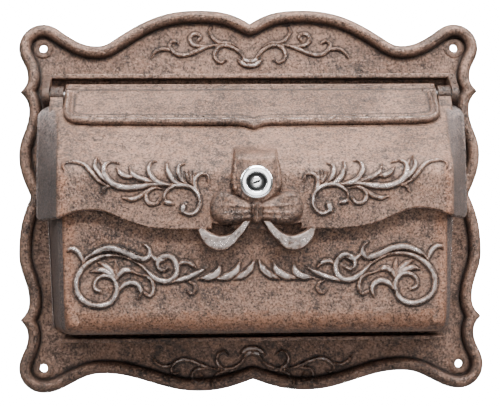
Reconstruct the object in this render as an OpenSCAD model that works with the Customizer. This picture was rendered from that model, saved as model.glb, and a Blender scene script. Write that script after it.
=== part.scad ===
// Wall mounted mailbox in cast iron.
// A scalloped wall plate carries a drafted box, a hinged lid with a bow and a cam lock,
// and a mail flap that turns on the same two hinge pins as the lid.
// +Z is up, +Y points into the wall, the wall plane is y = 0 and the origin is the centre
// of the four wall holes. Depths below are measured from the wall, along -Y.

/* [Wall plate] */
// Width over the side lobes
plate_w = 370; // [330:1:450]
// Height over the corner lobes
plate_h = 293.6; // [280:0.1:360]
// Thickness of the flat field
plate_t = 4; // [3:0.5:6]
// Width of the raised moulding along the edge
rim_w = 10.5; // [8:0.5:12]
// Height of the moulding above the field
rim_h = 7; // [3:0.5:9]
// Radius of the corner lobes, which are centred on the wall holes
lobe_r = 19.5; // [17:0.5:22]
// Diameter of the wall holes
hole_d = 6; // [4:0.1:8]
// Rise of the two top crests above the corner lobes
top_crest = 11.4; // [4:0.2:16]
// Drop of the top valleys below the corner lobes
top_valley = 17.4; // [10:0.2:20]
// Drop of the bottom valleys, measured from the corner lobes
bottom_valley = 14.7; // [8:0.2:18]
// Depth of the pointed notch in the middle of the top and bottom edges
centre_notch = 10; // [4:0.5:14]
// Depth of the hollows beside the pointed cusps on the side edges
side_hollow = 8; // [4:0.5:10]

/* [Box] */
// Width left between the plate's edge and the side of the box
side_margin = 22; // [18:0.5:30]
// Height left above the hinge rail and below the bottom ledge
end_margin = 41.3; // [34:0.1:50]
// Depth of the box, wall to front face
box_depth = 81; // [70:1:110]
// Wall of the box casting
box_wall = 4; // [3:0.5:6]
// Draft of the box's cheeks
box_draft = 14.9; // [8:0.1:18]
// Inside radius where the front turns under into the bottom
box_turn_r = 12; // [6:1:20]
// How much each cheek leans in towards the bottom
box_lean = 5; // [0:0.5:8]
// Thickness of the hinge rail and of the bottom ledge
rail_t = 4; // [3:0.5:6]
// Depth of the hinge rail, wall to front edge
rail_depth = 14; // [10:0.5:16]
// Depth of the bottom ledge, wall to front edge
ledge_depth = 42; // [30:1:50]
// Gap between the bottom of the box and the ledge
ledge_gap = 3; // [1:0.5:5]

/* [Hinge] */
// Depth of the hinge axis from the wall
hinge_depth = 25; // [22:0.5:30]
// Drop of the hinge axis below the top of the rail
hinge_drop = 18.5; // [16:0.5:24]
// Diameter of the hinge pins
pin_d = 6; // [4:0.1:7]
// Radial running clearance on the pins
pin_clear = 0.07; // [0.03:0.01:0.1]
// Thickness of the plate's two ears
ear_t = 5.5; // [4:0.5:8]
// Length of the lid's knuckles
knuckle_len = 10.5; // [8:0.5:14]
// Outside diameter of the lid's knuckles
knuckle_od = 14; // [11:0.5:15]
// Length of the bosses under the ends of the flap
boss_len = 11; // [8:0.5:16]
// Outside diameter of those bosses
boss_od = 11.6; // [9:0.2:12]
// Sideways gap between neighbours on a pin
side_gap = 0.5; // [0.3:0.1:1]

/* [Lid] */
// Wall of the lid casting
lid_wall = 4; // [3:0.5:5]
// Slope of the lid's top below horizontal
lid_slope = 44; // [42:0.5:46]
// Outside radius of the bend between the top and the front
bend_r = 18; // [12:1:22]
// Gap between the box's front and the lid's inside face
lid_gap = 5; // [4:0.5:8]
// Draft of the lid's cheeks
lid_draft = 19; // [14:0.5:20]
// Height of the lid's front, from the sharp corner of the bend to its lowest edge
lid_front_h = 45.2; // [42:0.2:60]
// Height of the cheeks' lower edge above the lowest edge
cheek_lift = 9; // [6:0.5:12]
// Gap between the lid's underside and the top of the box's cheeks
rest_gap = 0.5; // [0.3:0.1:1]
// Distance from the hinge axis to where the lid's top begins
lid_start = 12; // [11.5:0.5:14]
// Height of the mail slot along the slope
slot_h = 22; // [16:1:24]
// Half the width of the mail slot
slot_half = 128; // [90:1:130]

/* [Flap] */
// Thickness of the mail flap
flap_t = 4; // [3:0.5:5]
// Length from the hinge axis to the flap's lower edge
flap_len = 40; // [38:0.5:44]
// Length above the hinge axis
flap_tail = 9; // [6:0.5:10]
// Drop of the middle point below the lower edge
flap_point = 5.5; // [2:0.5:8]
// Width of the raised border
flap_border_w = 7; // [5:0.5:9]
// Height of the raised border
flap_border_h = 1.2; // [0.6:0.1:1.6]
// Gap between the flap and the lid's top
flap_gap = 0.6; // [0.3:0.1:1]

/* [Lock] */
// Diameter of the lock's bezel
bezel_d = 25; // [22:0.5:28]
// Diameter of the lock's barrel
barrel_d = 18; // [16:0.5:20]
// Diameter of the plug
plug_d = 8; // [7:0.5:9]
// Radial running clearance of the plug
plug_clear = 0.06; // [0.03:0.01:0.1]
// Length of the cam from the lock's axis
cam_len = 30; // [26:1:36]
// Width of the cam
cam_w = 12; // [10:0.5:14]
// Thickness of the cam
cam_t = 2; // [1.5:0.5:3]
// Slant of the key slot from horizontal
key_slant = 20; // [0:5:90]

/* [Fasteners] */
// Thread diameter of the four countersunk screws that hold the box to the plate
screw_d = 5; // [4:0.5:6]
// Head diameter of those screws
screw_head = 9.6; // [8:0.2:11]
// Outside diameter of the lugs they screw into
lug_od = 14; // [11:0.5:16]
// Length of the lugs
lug_len = 15; // [10:1:20]

/* [Hidden] */
$fn = 64;

// Half sizes of the plate and the place of the wall holes
half_w = plate_w / 2;
half_h = plate_h / 2;
hole_x = half_w - lobe_r;
hole_z = half_h - lobe_r;
far = 2 * max(plate_w, plate_h);
bite = 1;

// Heights of the rail, the ledge, the hinge axis and the box's bottom
rail_top = half_h - end_margin;
ledge_bottom = -half_h + end_margin;
hinge_z = rail_top - hinge_drop;
box_bottom = ledge_bottom + rail_t + ledge_gap;

// Widths on the hinge axis, from the ears inwards
box_half = half_w - side_margin;
ear_in = box_half - ear_t + 1;
ear_out = box_half + 1;
knuckle_out = ear_in - side_gap;
knuckle_in = knuckle_out - knuckle_len;
flap_half = knuckle_in - side_gap - 1;
ear_r = knuckle_od / 2 + 0.5;
ear_bottom = hinge_z - ear_r - 13.5;

// Lid: outer front face, its sharp corner and its lower edges
lid_depth = box_depth + lid_gap + lid_wall;
lid_rear = hinge_depth + lid_start * cos(lid_slope);
corner_z = hinge_z - (lid_depth - hinge_depth) * tan(lid_slope);
lid_low = corner_z - lid_front_h;
cheek_low = lid_low + cheek_lift;
lid_half = box_half + 4.5;
bend_turn = 90 - lid_slope;
bow_depth = 5;
pad_h = 3;

// Lock: height of its axis and the depths of its steps
lock_z = corner_z - 10.6;
pad_face = lid_depth + pad_h;
bezel_t = 3;
barrel_end = box_depth - box_wall - 1;
cam_front = barrel_end;
cam_back = cam_front - cam_t;
nut_t = 3;
washer_t = 0.8;
nut_af = 22;
front_top = lock_z - barrel_d / 2 - 3.4;
square = 5;
stud_r = 2.5;
stud_back = cam_back - 7;
seat_clear = 0.05;

// Box: the clipped top of the cheeks and the places of the screw lugs
cheek_top = ear_bottom - 1;
lug_inset = 4;
lug_x = box_half - box_wall - lug_od / 2 - lug_inset;
lug_z = [box_bottom + 20, cheek_top - 18];
mail_top_offset = lid_wall + rest_gap;

// ---- helpers ---------------------------------------------------------------------

// A profile drawn in (y, z) and extruded across the width, centred
module across(w) { rotate([90, 0, 90]) linear_extrude(w, center = true) children(); }

// A profile drawn in (x, z) and extruded outwards between two depths
module outward(from, to) {
    translate([0, -from, 0]) rotate([90, 0, 0]) linear_extrude(to - from) children();
}

// A profile drawn in (x, y) and extruded upwards between two heights
module upward(from, to) { translate([0, 0, from]) linear_extrude(to - from) children(); }

// A round bar along X between two places on the hinge axis
module axle(x0, x1, r) {
    translate([x0, -hinge_depth, hinge_z]) rotate([0, 90, 0]) cylinder(r = r, h = x1 - x0);
}

// A round bar along the depth at (x, z)
module stem(x, z, from, to, r) {
    translate([x, -from, z]) rotate([90, 0, 0]) cylinder(r = r, h = to - from);
}

module both_sides() {
    children();
    mirror([1, 0, 0]) children();
}

// Point at distance s down the lid's slope from the hinge axis and n above its surface,
// as (y, z)
function on_slope(s, n = 0) = [
    -hinge_depth - s * cos(lid_slope) - n * sin(lid_slope),
    hinge_z - s * sin(lid_slope) + n * cos(lid_slope)
];

// Points along an arc
function arc(c, r, a0, a1, n = 12) = [
    for (i = [0 : n]) c + r * [cos(a0 + (a1 - a0) * i / n), sin(a0 + (a1 - a0) * i / n)]
];

// Smooth stretch from p to q that leaves along angle a and arrives along angle b
function ease(p, a, q, b, n = 6) =
    let (k = 0.39 * norm(q - p), c = p + k * [cos(a), sin(a)], d = q - k * [cos(b), sin(b)])
    [for (i = [0 : n - 1]) let (t = i / n, u = 1 - t)
        u * u * u * p + 3 * u * u * t * c + 3 * u * t * t * d + t * t * t * q];

// Joins knots of the form [point, angle in, angle out] with smooth stretches
function chain(k) = [
    for (i = [0 : len(k) - 2], p = ease(k[i][0], k[i][2], k[i + 1][0], k[i + 1][1])) p
];

function flip(pts) = [for (i = [len(pts) - 1 : -1 : 0]) [-pts[i][0], pts[i][1]]];

// ---- wall plate ------------------------------------------------------------------

// Right half of the plate's outline, clockwise from the middle of the top edge
function plate_half() = chain([
    [[0, half_h + top_crest - centre_notch - 0.8], 0, 33],
    [[0.255 * hole_x, half_h + top_crest], 0, 0],
    [[hole_x - 59, half_h - top_valley + 7], -33, -33],
    [[hole_x - 43, half_h - top_valley], 0, 0],
    [[hole_x - 21, half_h - 10.2], 31, 31],
    [[hole_x, half_h], 0, 0],
    [[half_w, hole_z], -90, -90],
    [[half_w - side_hollow + 1, hole_z - 23], -90, -90],
    [[half_w - 0.8, hole_z - 35], -44, -136],
    [[half_w - side_hollow, hole_z - 50], -90, -90],
    [[half_w, 0.33 * hole_z], -90, -90],
    [[half_w - side_hollow - 1.4, 0.067 * hole_z], -113, -66],
    [[half_w, -0.29 * hole_z], -90, -90],
    [[half_w - side_hollow, -hole_z + 52.5], -90, -90],
    [[half_w - 0.8, -hole_z + 38], -44, -136],
    [[half_w - side_hollow + 1, -hole_z + 25], -90, -90],
    [[half_w, -hole_z], -90, -90],
    [[hole_x, -half_h], 180, 180],
    [[hole_x - 21, -half_h + 6.6], 153, 153],
    [[hole_x - 46, -half_h + bottom_valley], 180, 180],
    [[hole_x - 75, -half_h + bottom_valley - 4.5], 196, 196],
    [[0.255 * hole_x, -half_h], 180, 180],
    [[0, -half_h + centre_notch - 1], 160, 0]
]);

module plate_outline() {
    right = plate_half();
    bottom = [[0, -half_h + centre_notch - 1]];
    polygon(concat(right, bottom, [for (p = flip(right)) if (p[0] < -0.01) p]));
}

// Moulding along the edge, stepped to follow a half-round section
module rim() {
    steps = [[0, 0.7], [0.25, 1]];
    for (s = steps) {
        outward(plate_t - 0.2, plate_t + s[1] * rim_h) difference() {
            offset(delta = -s[0] * rim_w - 0.01) plate_outline();
            offset(delta = -(1 - s[0] / 2) * rim_w) plate_outline();
        }
    }
}

// Side view of an ear: from the rail down round the hinge axis and back to the plate
function ear_profile() = concat(
    [[-plate_t + 0.5, rail_top], [-rail_depth, rail_top]],
    arc([-hinge_depth, hinge_z], ear_r, 125, 285, 16),
    [[-plate_t + 0.5, ear_bottom]]
);

module ears() {
    both_sides() difference() {
        translate([(ear_in + ear_out) / 2, 0, 0]) across(ear_t) polygon(ear_profile());
        axle(ear_in - bite, ear_out + bite, pin_d / 2);
    }
}

module screw_holes(depth) {
    both_sides() for (z = lug_z) {
        stem(lug_x, z, -bite, depth, screw_d / 2 + seat_clear);
    }
}

module wall_plate() {
    color([0.33, 0.24, 0.2]) difference() {
        union() {
            outward(0, plate_t) plate_outline();
            rim();
            ears();
            translate([-ear_in - bite, -rail_depth, rail_top - rail_t])
                cube([2 * (ear_in + bite), rail_depth - plate_t / 2, rail_t]);
            translate([-lug_x, -ledge_depth, ledge_bottom])
                cube([2 * lug_x, ledge_depth - plate_t / 2, rail_t - 1]);
        }
        both_sides() for (z = [-hole_z, hole_z]) stem(hole_x, z, -bite, far, hole_d / 2);
        screw_holes(plate_t + bite);
        both_sides() for (z = lug_z) countersink(lug_x, z, seat_clear);
    }
}

// Cone of a countersunk head in the back of the plate
module countersink(x, z, clear) {
    head_h = (screw_head - screw_d) / 2;
    translate([x, 0, z]) rotate([90, 0, 0])
        cylinder(r1 = screw_head / 2 + clear, r2 = screw_d / 2 + clear, h = head_h);
}

module shell_screws() {
    color([0.55, 0.55, 0.57]) both_sides() for (z = lug_z) {
        difference() {
            union() {
                countersink(lug_x, z, 0);
                stem(lug_x, z, 0.5, plate_t + lug_len - 3, screw_d / 2);
            }
            translate([lug_x, 0.5, z]) cube([5.5, 2.6, 1.2], center = true);
            translate([lug_x, 0.5, z]) cube([1.2, 2.6, 5.5], center = true);
        }
    }
}

// ---- box -------------------------------------------------------------------------

// Side view of the box, inset by i: open at the back, cheeks clipped under the lid.
// The inner one reaches past the rear and the top.
function box_side(i) =
    let (
        back = i > 0 ? -plate_t + bite : -plate_t,
        face = -box_depth + i,
        base = box_bottom + i,
        r = max(box_turn_r + box_wall - i, 1),
        lift = i > 0 ? far : 0,
        drop = mail_top_offset / cos(lid_slope),
        meet = hinge_depth + (hinge_z - drop - cheek_top) / tan(lid_slope),
        knee = box_depth - bend_r * 0.55
    )
    concat(
        [[back, base], [back, cheek_top + lift]],
        [[i > 0 ? face : -meet, cheek_top + lift]],
        i > 0 ? [] : [
            [-knee, hinge_z - drop - (knee - hinge_depth) * tan(lid_slope)],
            [face, hinge_z - drop - (box_depth - hinge_depth) * tan(lid_slope) - 9]
        ],
        arc([face + r, base + r], r, 180, 270, 16)
    );

// Plan of the box, inset by i
function box_plan(i) =
    let (
        rear = box_half - i / cos(box_draft),
        slope = tan(box_draft),
        front = rear - (box_depth + bite - plate_t) * slope,
        past = rear + 2 * bite * slope
    )
    [
        [-past, -plate_t + 2 * bite], [past, -plate_t + 2 * bite],
        [front, -box_depth - bite], [-front, -box_depth - bite]
    ];

// Front view of the box, inset by i: cheeks lean in towards rounded bottom corners
function box_front(i) =
    let (
        low = box_bottom + i,
        w = box_half - i,
        r = max(10 - i, 2),
        right = concat(
            [[w + 2 * bite, cheek_top + 2 * bite + i], [w + bite, low + 90]],
            arc([w - box_lean - r, low + r], r, 0, -90, 8)
        )
    )
    concat(right, flip(right));

module box_solid(i) {
    intersection() {
        across(2 * far) polygon(box_side(i));
        upward(-far, far) polygon(box_plan(i));
        outward(-bite, far) polygon(box_front(i));
    }
}

// Screw lug tied to the cheek by a web
module lugs() {
    both_sides() for (z = lug_z) {
        stem(lug_x, z, plate_t, plate_t + lug_len, lug_od / 2);
        translate([lug_x, -plate_t - lug_len, z - 3])
            cube([box_half - lug_x - box_wall - 1, lug_len, 6]);
    }
}

module box_shell() {
    color([0.3, 0.21, 0.17]) difference() {
        union() {
            difference() {
                box_solid(0);
                box_solid(box_wall);
                translate([-far, -far, cheek_top]) cube(2 * far);
            }
            lugs();
        }
        // The front wall stops below the lock
        translate([-slot_half, -box_depth - bite, front_top])
            cube([2 * slot_half, box_wall + 2 * bite, far]);
        both_sides() for (z = lug_z) stem(lug_x, z, 0, plate_t + lug_len + bite, screw_d / 2);
    }
}

// ---- lid -------------------------------------------------------------------------

// Side view of the lid, inset by i
function lid_side(i) =
    let (
        centre = [-lid_depth + bend_r, corner_z - bend_r * tan(bend_turn / 2)],
        r = bend_r - i,
        low = lid_low - (i > 0 ? 2 * bite : 0),
        rear = i > 0 ? lid_start - 2 * bite : lid_start,
        back = i > 0 ? -lid_rear + 4 * bite : -lid_rear
    )
    concat(
        [on_slope(rear, -i)],
        arc(centre, r, 90 + lid_slope, 180, 12),
        [[-lid_depth + i, low], [-lid_depth + lid_wall + 1, low]],
        i > 0 ? [[back, low]] : concat(
            [[-lid_depth + lid_wall + 1, cheek_low]],
            arc([-lid_rear - 7, cheek_low + 7], 7, -90, 0, 8)
        )
    );

// Plan of the lid, inset by i
function lid_plan(i) =
    let (
        rear = lid_half - i / cos(lid_draft),
        slope = tan(lid_draft),
        front = rear - (lid_depth + bite - lid_rear) * slope,
        past = rear + 6 * bite * slope
    )
    [
        [-past, -lid_rear + 6 * bite], [past, -lid_rear + 6 * bite],
        [front, -lid_depth - bite], [-front, -lid_depth - bite]
    ];

module lid_solid(i) {
    intersection() {
        across(2 * far) polygon(lid_side(i));
        upward(-far, far) polygon(lid_plan(i));
    }
}

// Everything below the lid's scalloped lower edge
function scallop() =
    let (
        edge = lid_half - (lid_depth - lid_rear) * tan(lid_draft),
        right = chain([
            [[0, lid_low], 0, 0],
            [[0.39 * edge, lid_low], 0, 0],
            [[0.66 * edge, cheek_low - 1.5], 22, 22],
            [[0.82 * edge, cheek_low + 6], 0, 0],
            [[edge, cheek_low], -24, 0]
        ])
    )
    concat(
        [[-far, lid_low - 10], [-far, cheek_low]],
        flip(right), right,
        [[edge, cheek_low], [far, cheek_low], [far, lid_low - 10]]
    );

// Outline of the bow's right half: a loop, and a tail that hangs below the lid's edge
function bow_loop() = chain([
    [[0, -6], 0, 20],
    [[15, 2], 40, 40],
    [[30, 6], -10, -10],
    [[36, -6], -95, -95],
    [[26, -18], 185, 185],
    [[12, -17], 165, 165],
    [[0, -17], 180, 180]
]);

function bow_tail() = chain([
    [[4, -15], -50, -50],
    [[22, -36], -35, -35],
    [[30, -37], 30, 30],
    [[44, -24], 55, 90],
    [[42, -20], 160, 160],
    [[28, -25], 205, 205],
    [[14, -16], 140, 140]
]);

module bow() {
    lift = lock_z - 13.6;
    both_sides() translate([0, 0, lift]) {
        outward(lid_depth - 1, lid_depth + bow_depth + 2.5) polygon(concat(bow_loop(), [[0, -17]]));
        outward(lid_depth - 2, lid_depth + bow_depth) polygon(concat(bow_tail(), [[14, -16]]));
    }
}

// Arms with knuckles that hang the lid on the pins
module arms() {
    profile = concat(
        [on_slope(lid_start + 3, 0), on_slope(lid_start + 3, -lid_wall)],
        [on_slope(0, -knuckle_od / 2), on_slope(-1, 0)]
    );
    both_sides() {
        translate([(knuckle_in + knuckle_out) / 2, 0, 0]) across(knuckle_len) polygon(profile);
        axle(knuckle_in, knuckle_out, knuckle_od / 2);
    }
}

module lid() {
    color([0.4, 0.31, 0.27]) difference() {
        union() {
            difference() {
                union() {
                    lid_solid(0);
                    stem(0, lock_z, lid_depth / 2, pad_face, bezel_d / 2 + 3);
                }
                lid_solid(lid_wall);
                outward(0, far) polygon(scallop());
            }
            arms();
            bow();
        }
        // Mail slot, open towards the hinge
        translate([-slot_half, -hinge_depth, hinge_z]) rotate([lid_slope, 0, 0])
            translate([0, -lid_start - slot_h, -2 * lid_wall])
                cube([2 * slot_half, slot_h + 2 * lid_wall, 4 * lid_wall]);
        stem(0, lock_z, 0, far, barrel_d / 2 + 0.2);
        // Flat seat for the lock's washer and nut inside the bend
        stem(0, lock_z, 0, lid_depth - lid_wall, nut_af / 2 / cos(30) + side_gap);
        axle(-far, far, pin_d / 2 + pin_clear);
    }
}

// ---- flap ------------------------------------------------------------------------

// Face of the flap, x across and y up the slope from the hinge axis, inset by i
function flap_outline(i) =
    let (
        w = flap_half - i,
        low = -flap_len + i,
        r = 14,
        right = concat(
            [[w, flap_tail - i]],
            arc([w - r, low + r + 2], r, 0, -80, 10),
            [for (p = ease([w - r - 8, low + 1], 180, [18, low], 180)) p],
            [for (p = ease([18, low], 180, [0, low - flap_point], 215)) p]
        )
    )
    concat(right, [[0, low - flap_point]], flip(right));

// Lays a shape drawn flat, with y up the slope, on the flap's underside
module lay_on_slope(n) {
    translate([0, -hinge_depth, hinge_z]) rotate([lid_slope, 0, 0]) translate([0, 0, n]) children();
}

module slot_flap() {
    color([0.52, 0.44, 0.4]) difference() {
        union() {
            lay_on_slope(flap_gap) linear_extrude(flap_t) polygon(flap_outline(0));
            lay_on_slope(flap_gap + flap_t - 0.2) linear_extrude(flap_border_h + 0.2) difference() {
                polygon(flap_outline(0));
                polygon(flap_outline(flap_border_w));
            }
            both_sides() axle(flap_half - boss_len, flap_half, boss_od / 2);
        }
        axle(-far, far, pin_d / 2 + pin_clear);
    }
}

// A pin driven into an ear, with chamfered ends
module hinge_pin(side) {
    x0 = flap_half - boss_len - 1;
    x1 = ear_out + 0.4;
    color([0.5, 0.5, 0.5]) translate([side < 0 ? -x1 : x0, -hinge_depth, hinge_z]) rotate([0, 90, 0]) {
        translate([0, 0, 0.6]) cylinder(d = pin_d, h = x1 - x0 - 1.2);
        cylinder(d1 = pin_d - 1.2, d2 = pin_d, h = 0.6);
        translate([0, 0, x1 - x0 - 0.6]) cylinder(d1 = pin_d, d2 = pin_d - 1.2, h = 0.6);
    }
}

// ---- lock ------------------------------------------------------------------------

recess_r = 7;
recess_depth = 2.4;
head_t = 1.4;

// Solid of revolution round the lock's axis, drawn as (radius, depth)
module lock_turned(pts) {
    translate([0, 0, lock_z]) rotate([90, 0, 0]) rotate_extrude() polygon(pts);
}

module lock_housing() {
    face = pad_face + bezel_t;
    color([0.75, 0.75, 0.77]) lock_turned([
        [plug_d / 2 + plug_clear, barrel_end + 0.2],
        [barrel_d / 2, barrel_end + 0.2],
        [barrel_d / 2, pad_face],
        [bezel_d / 2, pad_face],
        [bezel_d / 2, pad_face + 0.8],
        [bezel_d / 2 - 2.5, face],
        [recess_r + 1.6, face],
        [recess_r, face - 1],
        [recess_r, face - recess_depth],
        [plug_d / 2 + plug_clear, face - recess_depth]
    ]);
}

module lock_washer() {
    back = lid_depth - lid_wall;
    color([0.6, 0.6, 0.62]) lock_turned([
        [barrel_d / 2 + 0.3, back - washer_t], [nut_af / 2 + 0.5, back - washer_t],
        [nut_af / 2 + 0.5, back], [barrel_d / 2 + 0.3, back]
    ]);
}

module hex_ring(z, front, t, af, bore) {
    translate([0, -front + t, z]) rotate([90, 0, 0]) difference() {
        cylinder(r = af / 2 / cos(30), h = t, $fn = 6);
        translate([0, 0, -bite]) cylinder(r = bore, h = t + 2 * bite);
    }
}

module lock_nut() {
    color([0.65, 0.65, 0.67])
        hex_ring(lock_z, lid_depth - lid_wall - washer_t, nut_t, nut_af, barrel_d / 2 + seat_clear);
}

module lock_plug() {
    face = pad_face + bezel_t - recess_depth;
    color([0.6, 0.6, 0.62]) difference() {
        union() {
            lock_turned([
                [0, cam_front], [plug_d / 2, cam_front], [plug_d / 2, face + 0.1],
                [plug_d / 2 + 1.2, face + 0.1], [plug_d / 2 + 1.2, face + head_t - 0.8],
                [plug_d / 2, face + head_t], [0, face + head_t]
            ]);
            translate([-square / 2, -cam_front - bite, lock_z - square / 2])
                cube([square, cam_t + bite, square]);
            stem(0, lock_z, stud_back, cam_front, stud_r);
        }
        translate([0, -face - head_t, lock_z]) rotate([0, key_slant, 0])
            cube([6, 12, 1.4], center = true);
    }
}

module lock_cam() {
    color([0.6, 0.58, 0.52]) difference() {
        union() {
            stem(0, lock_z, cam_back, cam_front - seat_clear, cam_w / 2);
            outward(cam_back, cam_front - seat_clear) translate([0, lock_z]) polygon(concat(
                [[0, -cam_w / 2], [0, cam_w / 2]],
                arc([cam_len - 4, 0], 4, 90, -90, 12)
            ));
        }
        translate([-square / 2 - seat_clear, -cam_front - bite, lock_z - square / 2 - seat_clear])
            cube([square + 2 * seat_clear, cam_t + 2 * bite, square + 2 * seat_clear]);
    }
}

module cam_washer() {
    color([0.62, 0.62, 0.64]) lock_turned([
        [stud_r + seat_clear, cam_back - washer_t], [5, cam_back - washer_t],
        [5, cam_back], [stud_r + seat_clear, cam_back]
    ]);
}

module cam_nut() {
    color([0.66, 0.66, 0.68])
        hex_ring(lock_z, cam_back - washer_t, 4, 8, stud_r + seat_clear);
}

wall_plate();
box_shell();
shell_screws();
lid();
slot_flap();
hinge_pin(-1);  // hinge_pin_left
hinge_pin(1);  // hinge_pin_right
lock_housing();
lock_washer();
lock_nut();
lock_plug();
lock_cam();
cam_washer();
cam_nut();
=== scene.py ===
"""Wall mounted mailbox of cast iron: four detailed castings, chrome lock, steel pins and screws."""

import math

import bmesh
import bpy
import numpy as np
from mathutils import Matrix, Vector
from mathutils.geometry import delaunay_2d_cdt
from mathutils.kdtree import KDTree


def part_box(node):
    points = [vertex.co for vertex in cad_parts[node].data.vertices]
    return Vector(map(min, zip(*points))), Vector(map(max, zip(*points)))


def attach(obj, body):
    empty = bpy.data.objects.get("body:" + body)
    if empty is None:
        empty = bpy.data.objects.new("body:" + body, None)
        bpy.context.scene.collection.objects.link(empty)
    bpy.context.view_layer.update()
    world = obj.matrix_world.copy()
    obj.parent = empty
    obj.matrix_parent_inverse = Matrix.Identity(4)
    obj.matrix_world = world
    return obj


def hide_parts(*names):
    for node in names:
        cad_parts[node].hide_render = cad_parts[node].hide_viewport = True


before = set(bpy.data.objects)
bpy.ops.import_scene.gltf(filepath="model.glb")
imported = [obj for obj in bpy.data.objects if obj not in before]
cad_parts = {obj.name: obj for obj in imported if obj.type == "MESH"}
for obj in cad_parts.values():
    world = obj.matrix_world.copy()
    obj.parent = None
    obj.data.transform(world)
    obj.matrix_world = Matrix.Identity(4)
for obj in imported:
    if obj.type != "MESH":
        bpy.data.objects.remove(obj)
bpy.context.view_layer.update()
MM = 0.001

# ---- curves, all in millimetres --------------------------------------------------


def unit(a):
    return a / np.maximum(np.linalg.norm(a, axis=-1, keepdims=True), 1e-9)


def bend(p, a, q, b, n=20):
    """Smooth stretch from p to q that leaves along angle a and arrives along angle b."""
    p, q = np.array(p, float), np.array(q, float)
    a, b = math.radians(a), math.radians(b)
    k = 0.39 * np.linalg.norm(q - p)
    c = p + k * np.array([math.cos(a), math.sin(a)])
    d = q - k * np.array([math.cos(b), math.sin(b)])
    t = np.linspace(0, 1, n, endpoint=False)[:, None]
    return (1 - t) ** 3 * p + 3 * (1 - t) ** 2 * t * c + 3 * (1 - t) * t * t * d + t**3 * q


def chain(knots, n=20):
    """Joins knots (x, z, angle in, angle out) with smooth stretches."""
    rows = [bend(k[:2], k[3], m[:2], m[2], n) for k, m in zip(knots, knots[1:])]
    return np.vstack(rows + [np.array([knots[-1][:2]], float)])


def arc(cx, cz, r, a0, a1, n=8):
    a = np.radians(np.linspace(a0, a1, n + 1))
    return np.stack([cx + r * np.cos(a), cz + r * np.sin(a)], 1)


def even(path, step, closed=False):
    """The same path with points at equal spacing."""
    path = np.asarray(path, float)
    if closed:
        path = np.vstack([path, path[:1]])
    run = np.concatenate([[0], np.cumsum(np.linalg.norm(np.diff(path, axis=0), axis=1))])
    n = max(2, int(round(run[-1] / step)))
    at = np.linspace(0, run[-1], n + 1)
    out = np.stack([np.interp(at, run, path[:, i]) for i in range(2)], 1)
    return out[:-1] if closed else out


def through(points, step=0.6):
    """Smooth path through given points."""
    p = np.array(points, float)
    p = np.vstack([2 * p[0] - p[1], p, 2 * p[-1] - p[-2]])
    t = np.linspace(0, 1, 12, endpoint=False)[:, None]
    rows = []
    for a, b, c, d in zip(p, p[1:], p[2:], p[3:]):
        rows.append(0.5 * (2 * b + (c - a) * t + (2 * a - 5 * b + 4 * c - d) * t**2
                           + (3 * b - 3 * c + d - a) * t**3))
    return even(np.vstack(rows + [p[-2:-1]]), step)


def mirrored(path):
    """A right-hand path followed back along its left-hand mirror."""
    left = path[::-1] * [-1, 1]
    keep = np.abs(left[:, 0]) > 0.01
    return np.vstack([path, left[keep]])


def inside(points, loop):
    """Which points lie inside a closed loop."""
    x, z = points[:, 0], points[:, 1]
    hit = np.zeros(len(points), bool)
    for (x0, z0), (x1, z1) in zip(loop, np.roll(loop, -1, 0)):
        if z0 != z1:
            hit ^= ((z0 > z) != (z1 > z)) & (x < (x1 - x0) * (z - z0) / (z1 - z0) + x0)
    return hit


def turning(loop, anticlockwise):
    """The loop in the asked direction of travel."""
    nxt = np.roll(loop, -1, 0)
    area = (loop[:, 0] * nxt[:, 1] - nxt[:, 0] * loop[:, 1]).sum()
    return loop if (area > 0) == anticlockwise else loop[::-1]


def distance_to(loops):
    """A function that gives each point's distance to the nearest of the closed loops."""
    dense = np.vstack([even(l, 0.2, True) for l in loops])
    tree = KDTree(len(dense))
    for i, p in enumerate(dense):
        tree.insert((p[0], p[1], 0), i)
    tree.balance()
    return lambda pts: np.array([tree.find((p[0], p[1], 0))[2] for p in pts])


def honeycomb(x0, x1, z0, z1, pitch):
    xs = np.arange(x0, x1 + pitch, pitch)
    zs = np.arange(z0, z1 + pitch, pitch * 0.866)
    g = np.stack(np.meshgrid(xs, zs), -1)
    g[1::2, :, 0] += pitch / 2
    return g.reshape(-1, 2)


def thin_out(groups, gap):
    """Points of every group, the earlier groups first, without near doubles."""
    taken, kept = set(), []
    for g in groups:
        for p in g:
            cell = (round(p[0] / gap), round(p[1] / gap))
            if cell not in taken:
                taken.add(cell)
                kept.append(p)
    return np.array(kept)


def ripple(x, z, size, seed):
    """Gentle unevenness between -1 and 1 with features of about the given size."""
    rng = np.random.default_rng(seed)
    total = np.zeros(len(x))
    for _ in range(7):
        a, phase = rng.uniform(0, 2 * math.pi, 2)
        k = 2 * math.pi / (size * rng.uniform(0.7, 1.6))
        total += np.sin(k * (x * math.cos(a) + z * math.sin(a)) + phase)
    return total / 4


# ---- relief ----------------------------------------------------------------------

def stroke(points, width, height, ends=(0.25, 0.35)):
    """A raised half-round band along a path, narrowing to its ends."""
    path = through(points)
    t = np.linspace(0, 1, len(path))
    taper = np.interp(t, [0, 0.3, 0.7, 1], [ends[0], 1, 1, ends[1]])
    return path, width / 2 * taper, height * (0.45 + 0.55 * taper)


def both(strokes):
    return strokes + [(p * [-1, 1], w, h) for p, w, h in strokes]


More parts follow.
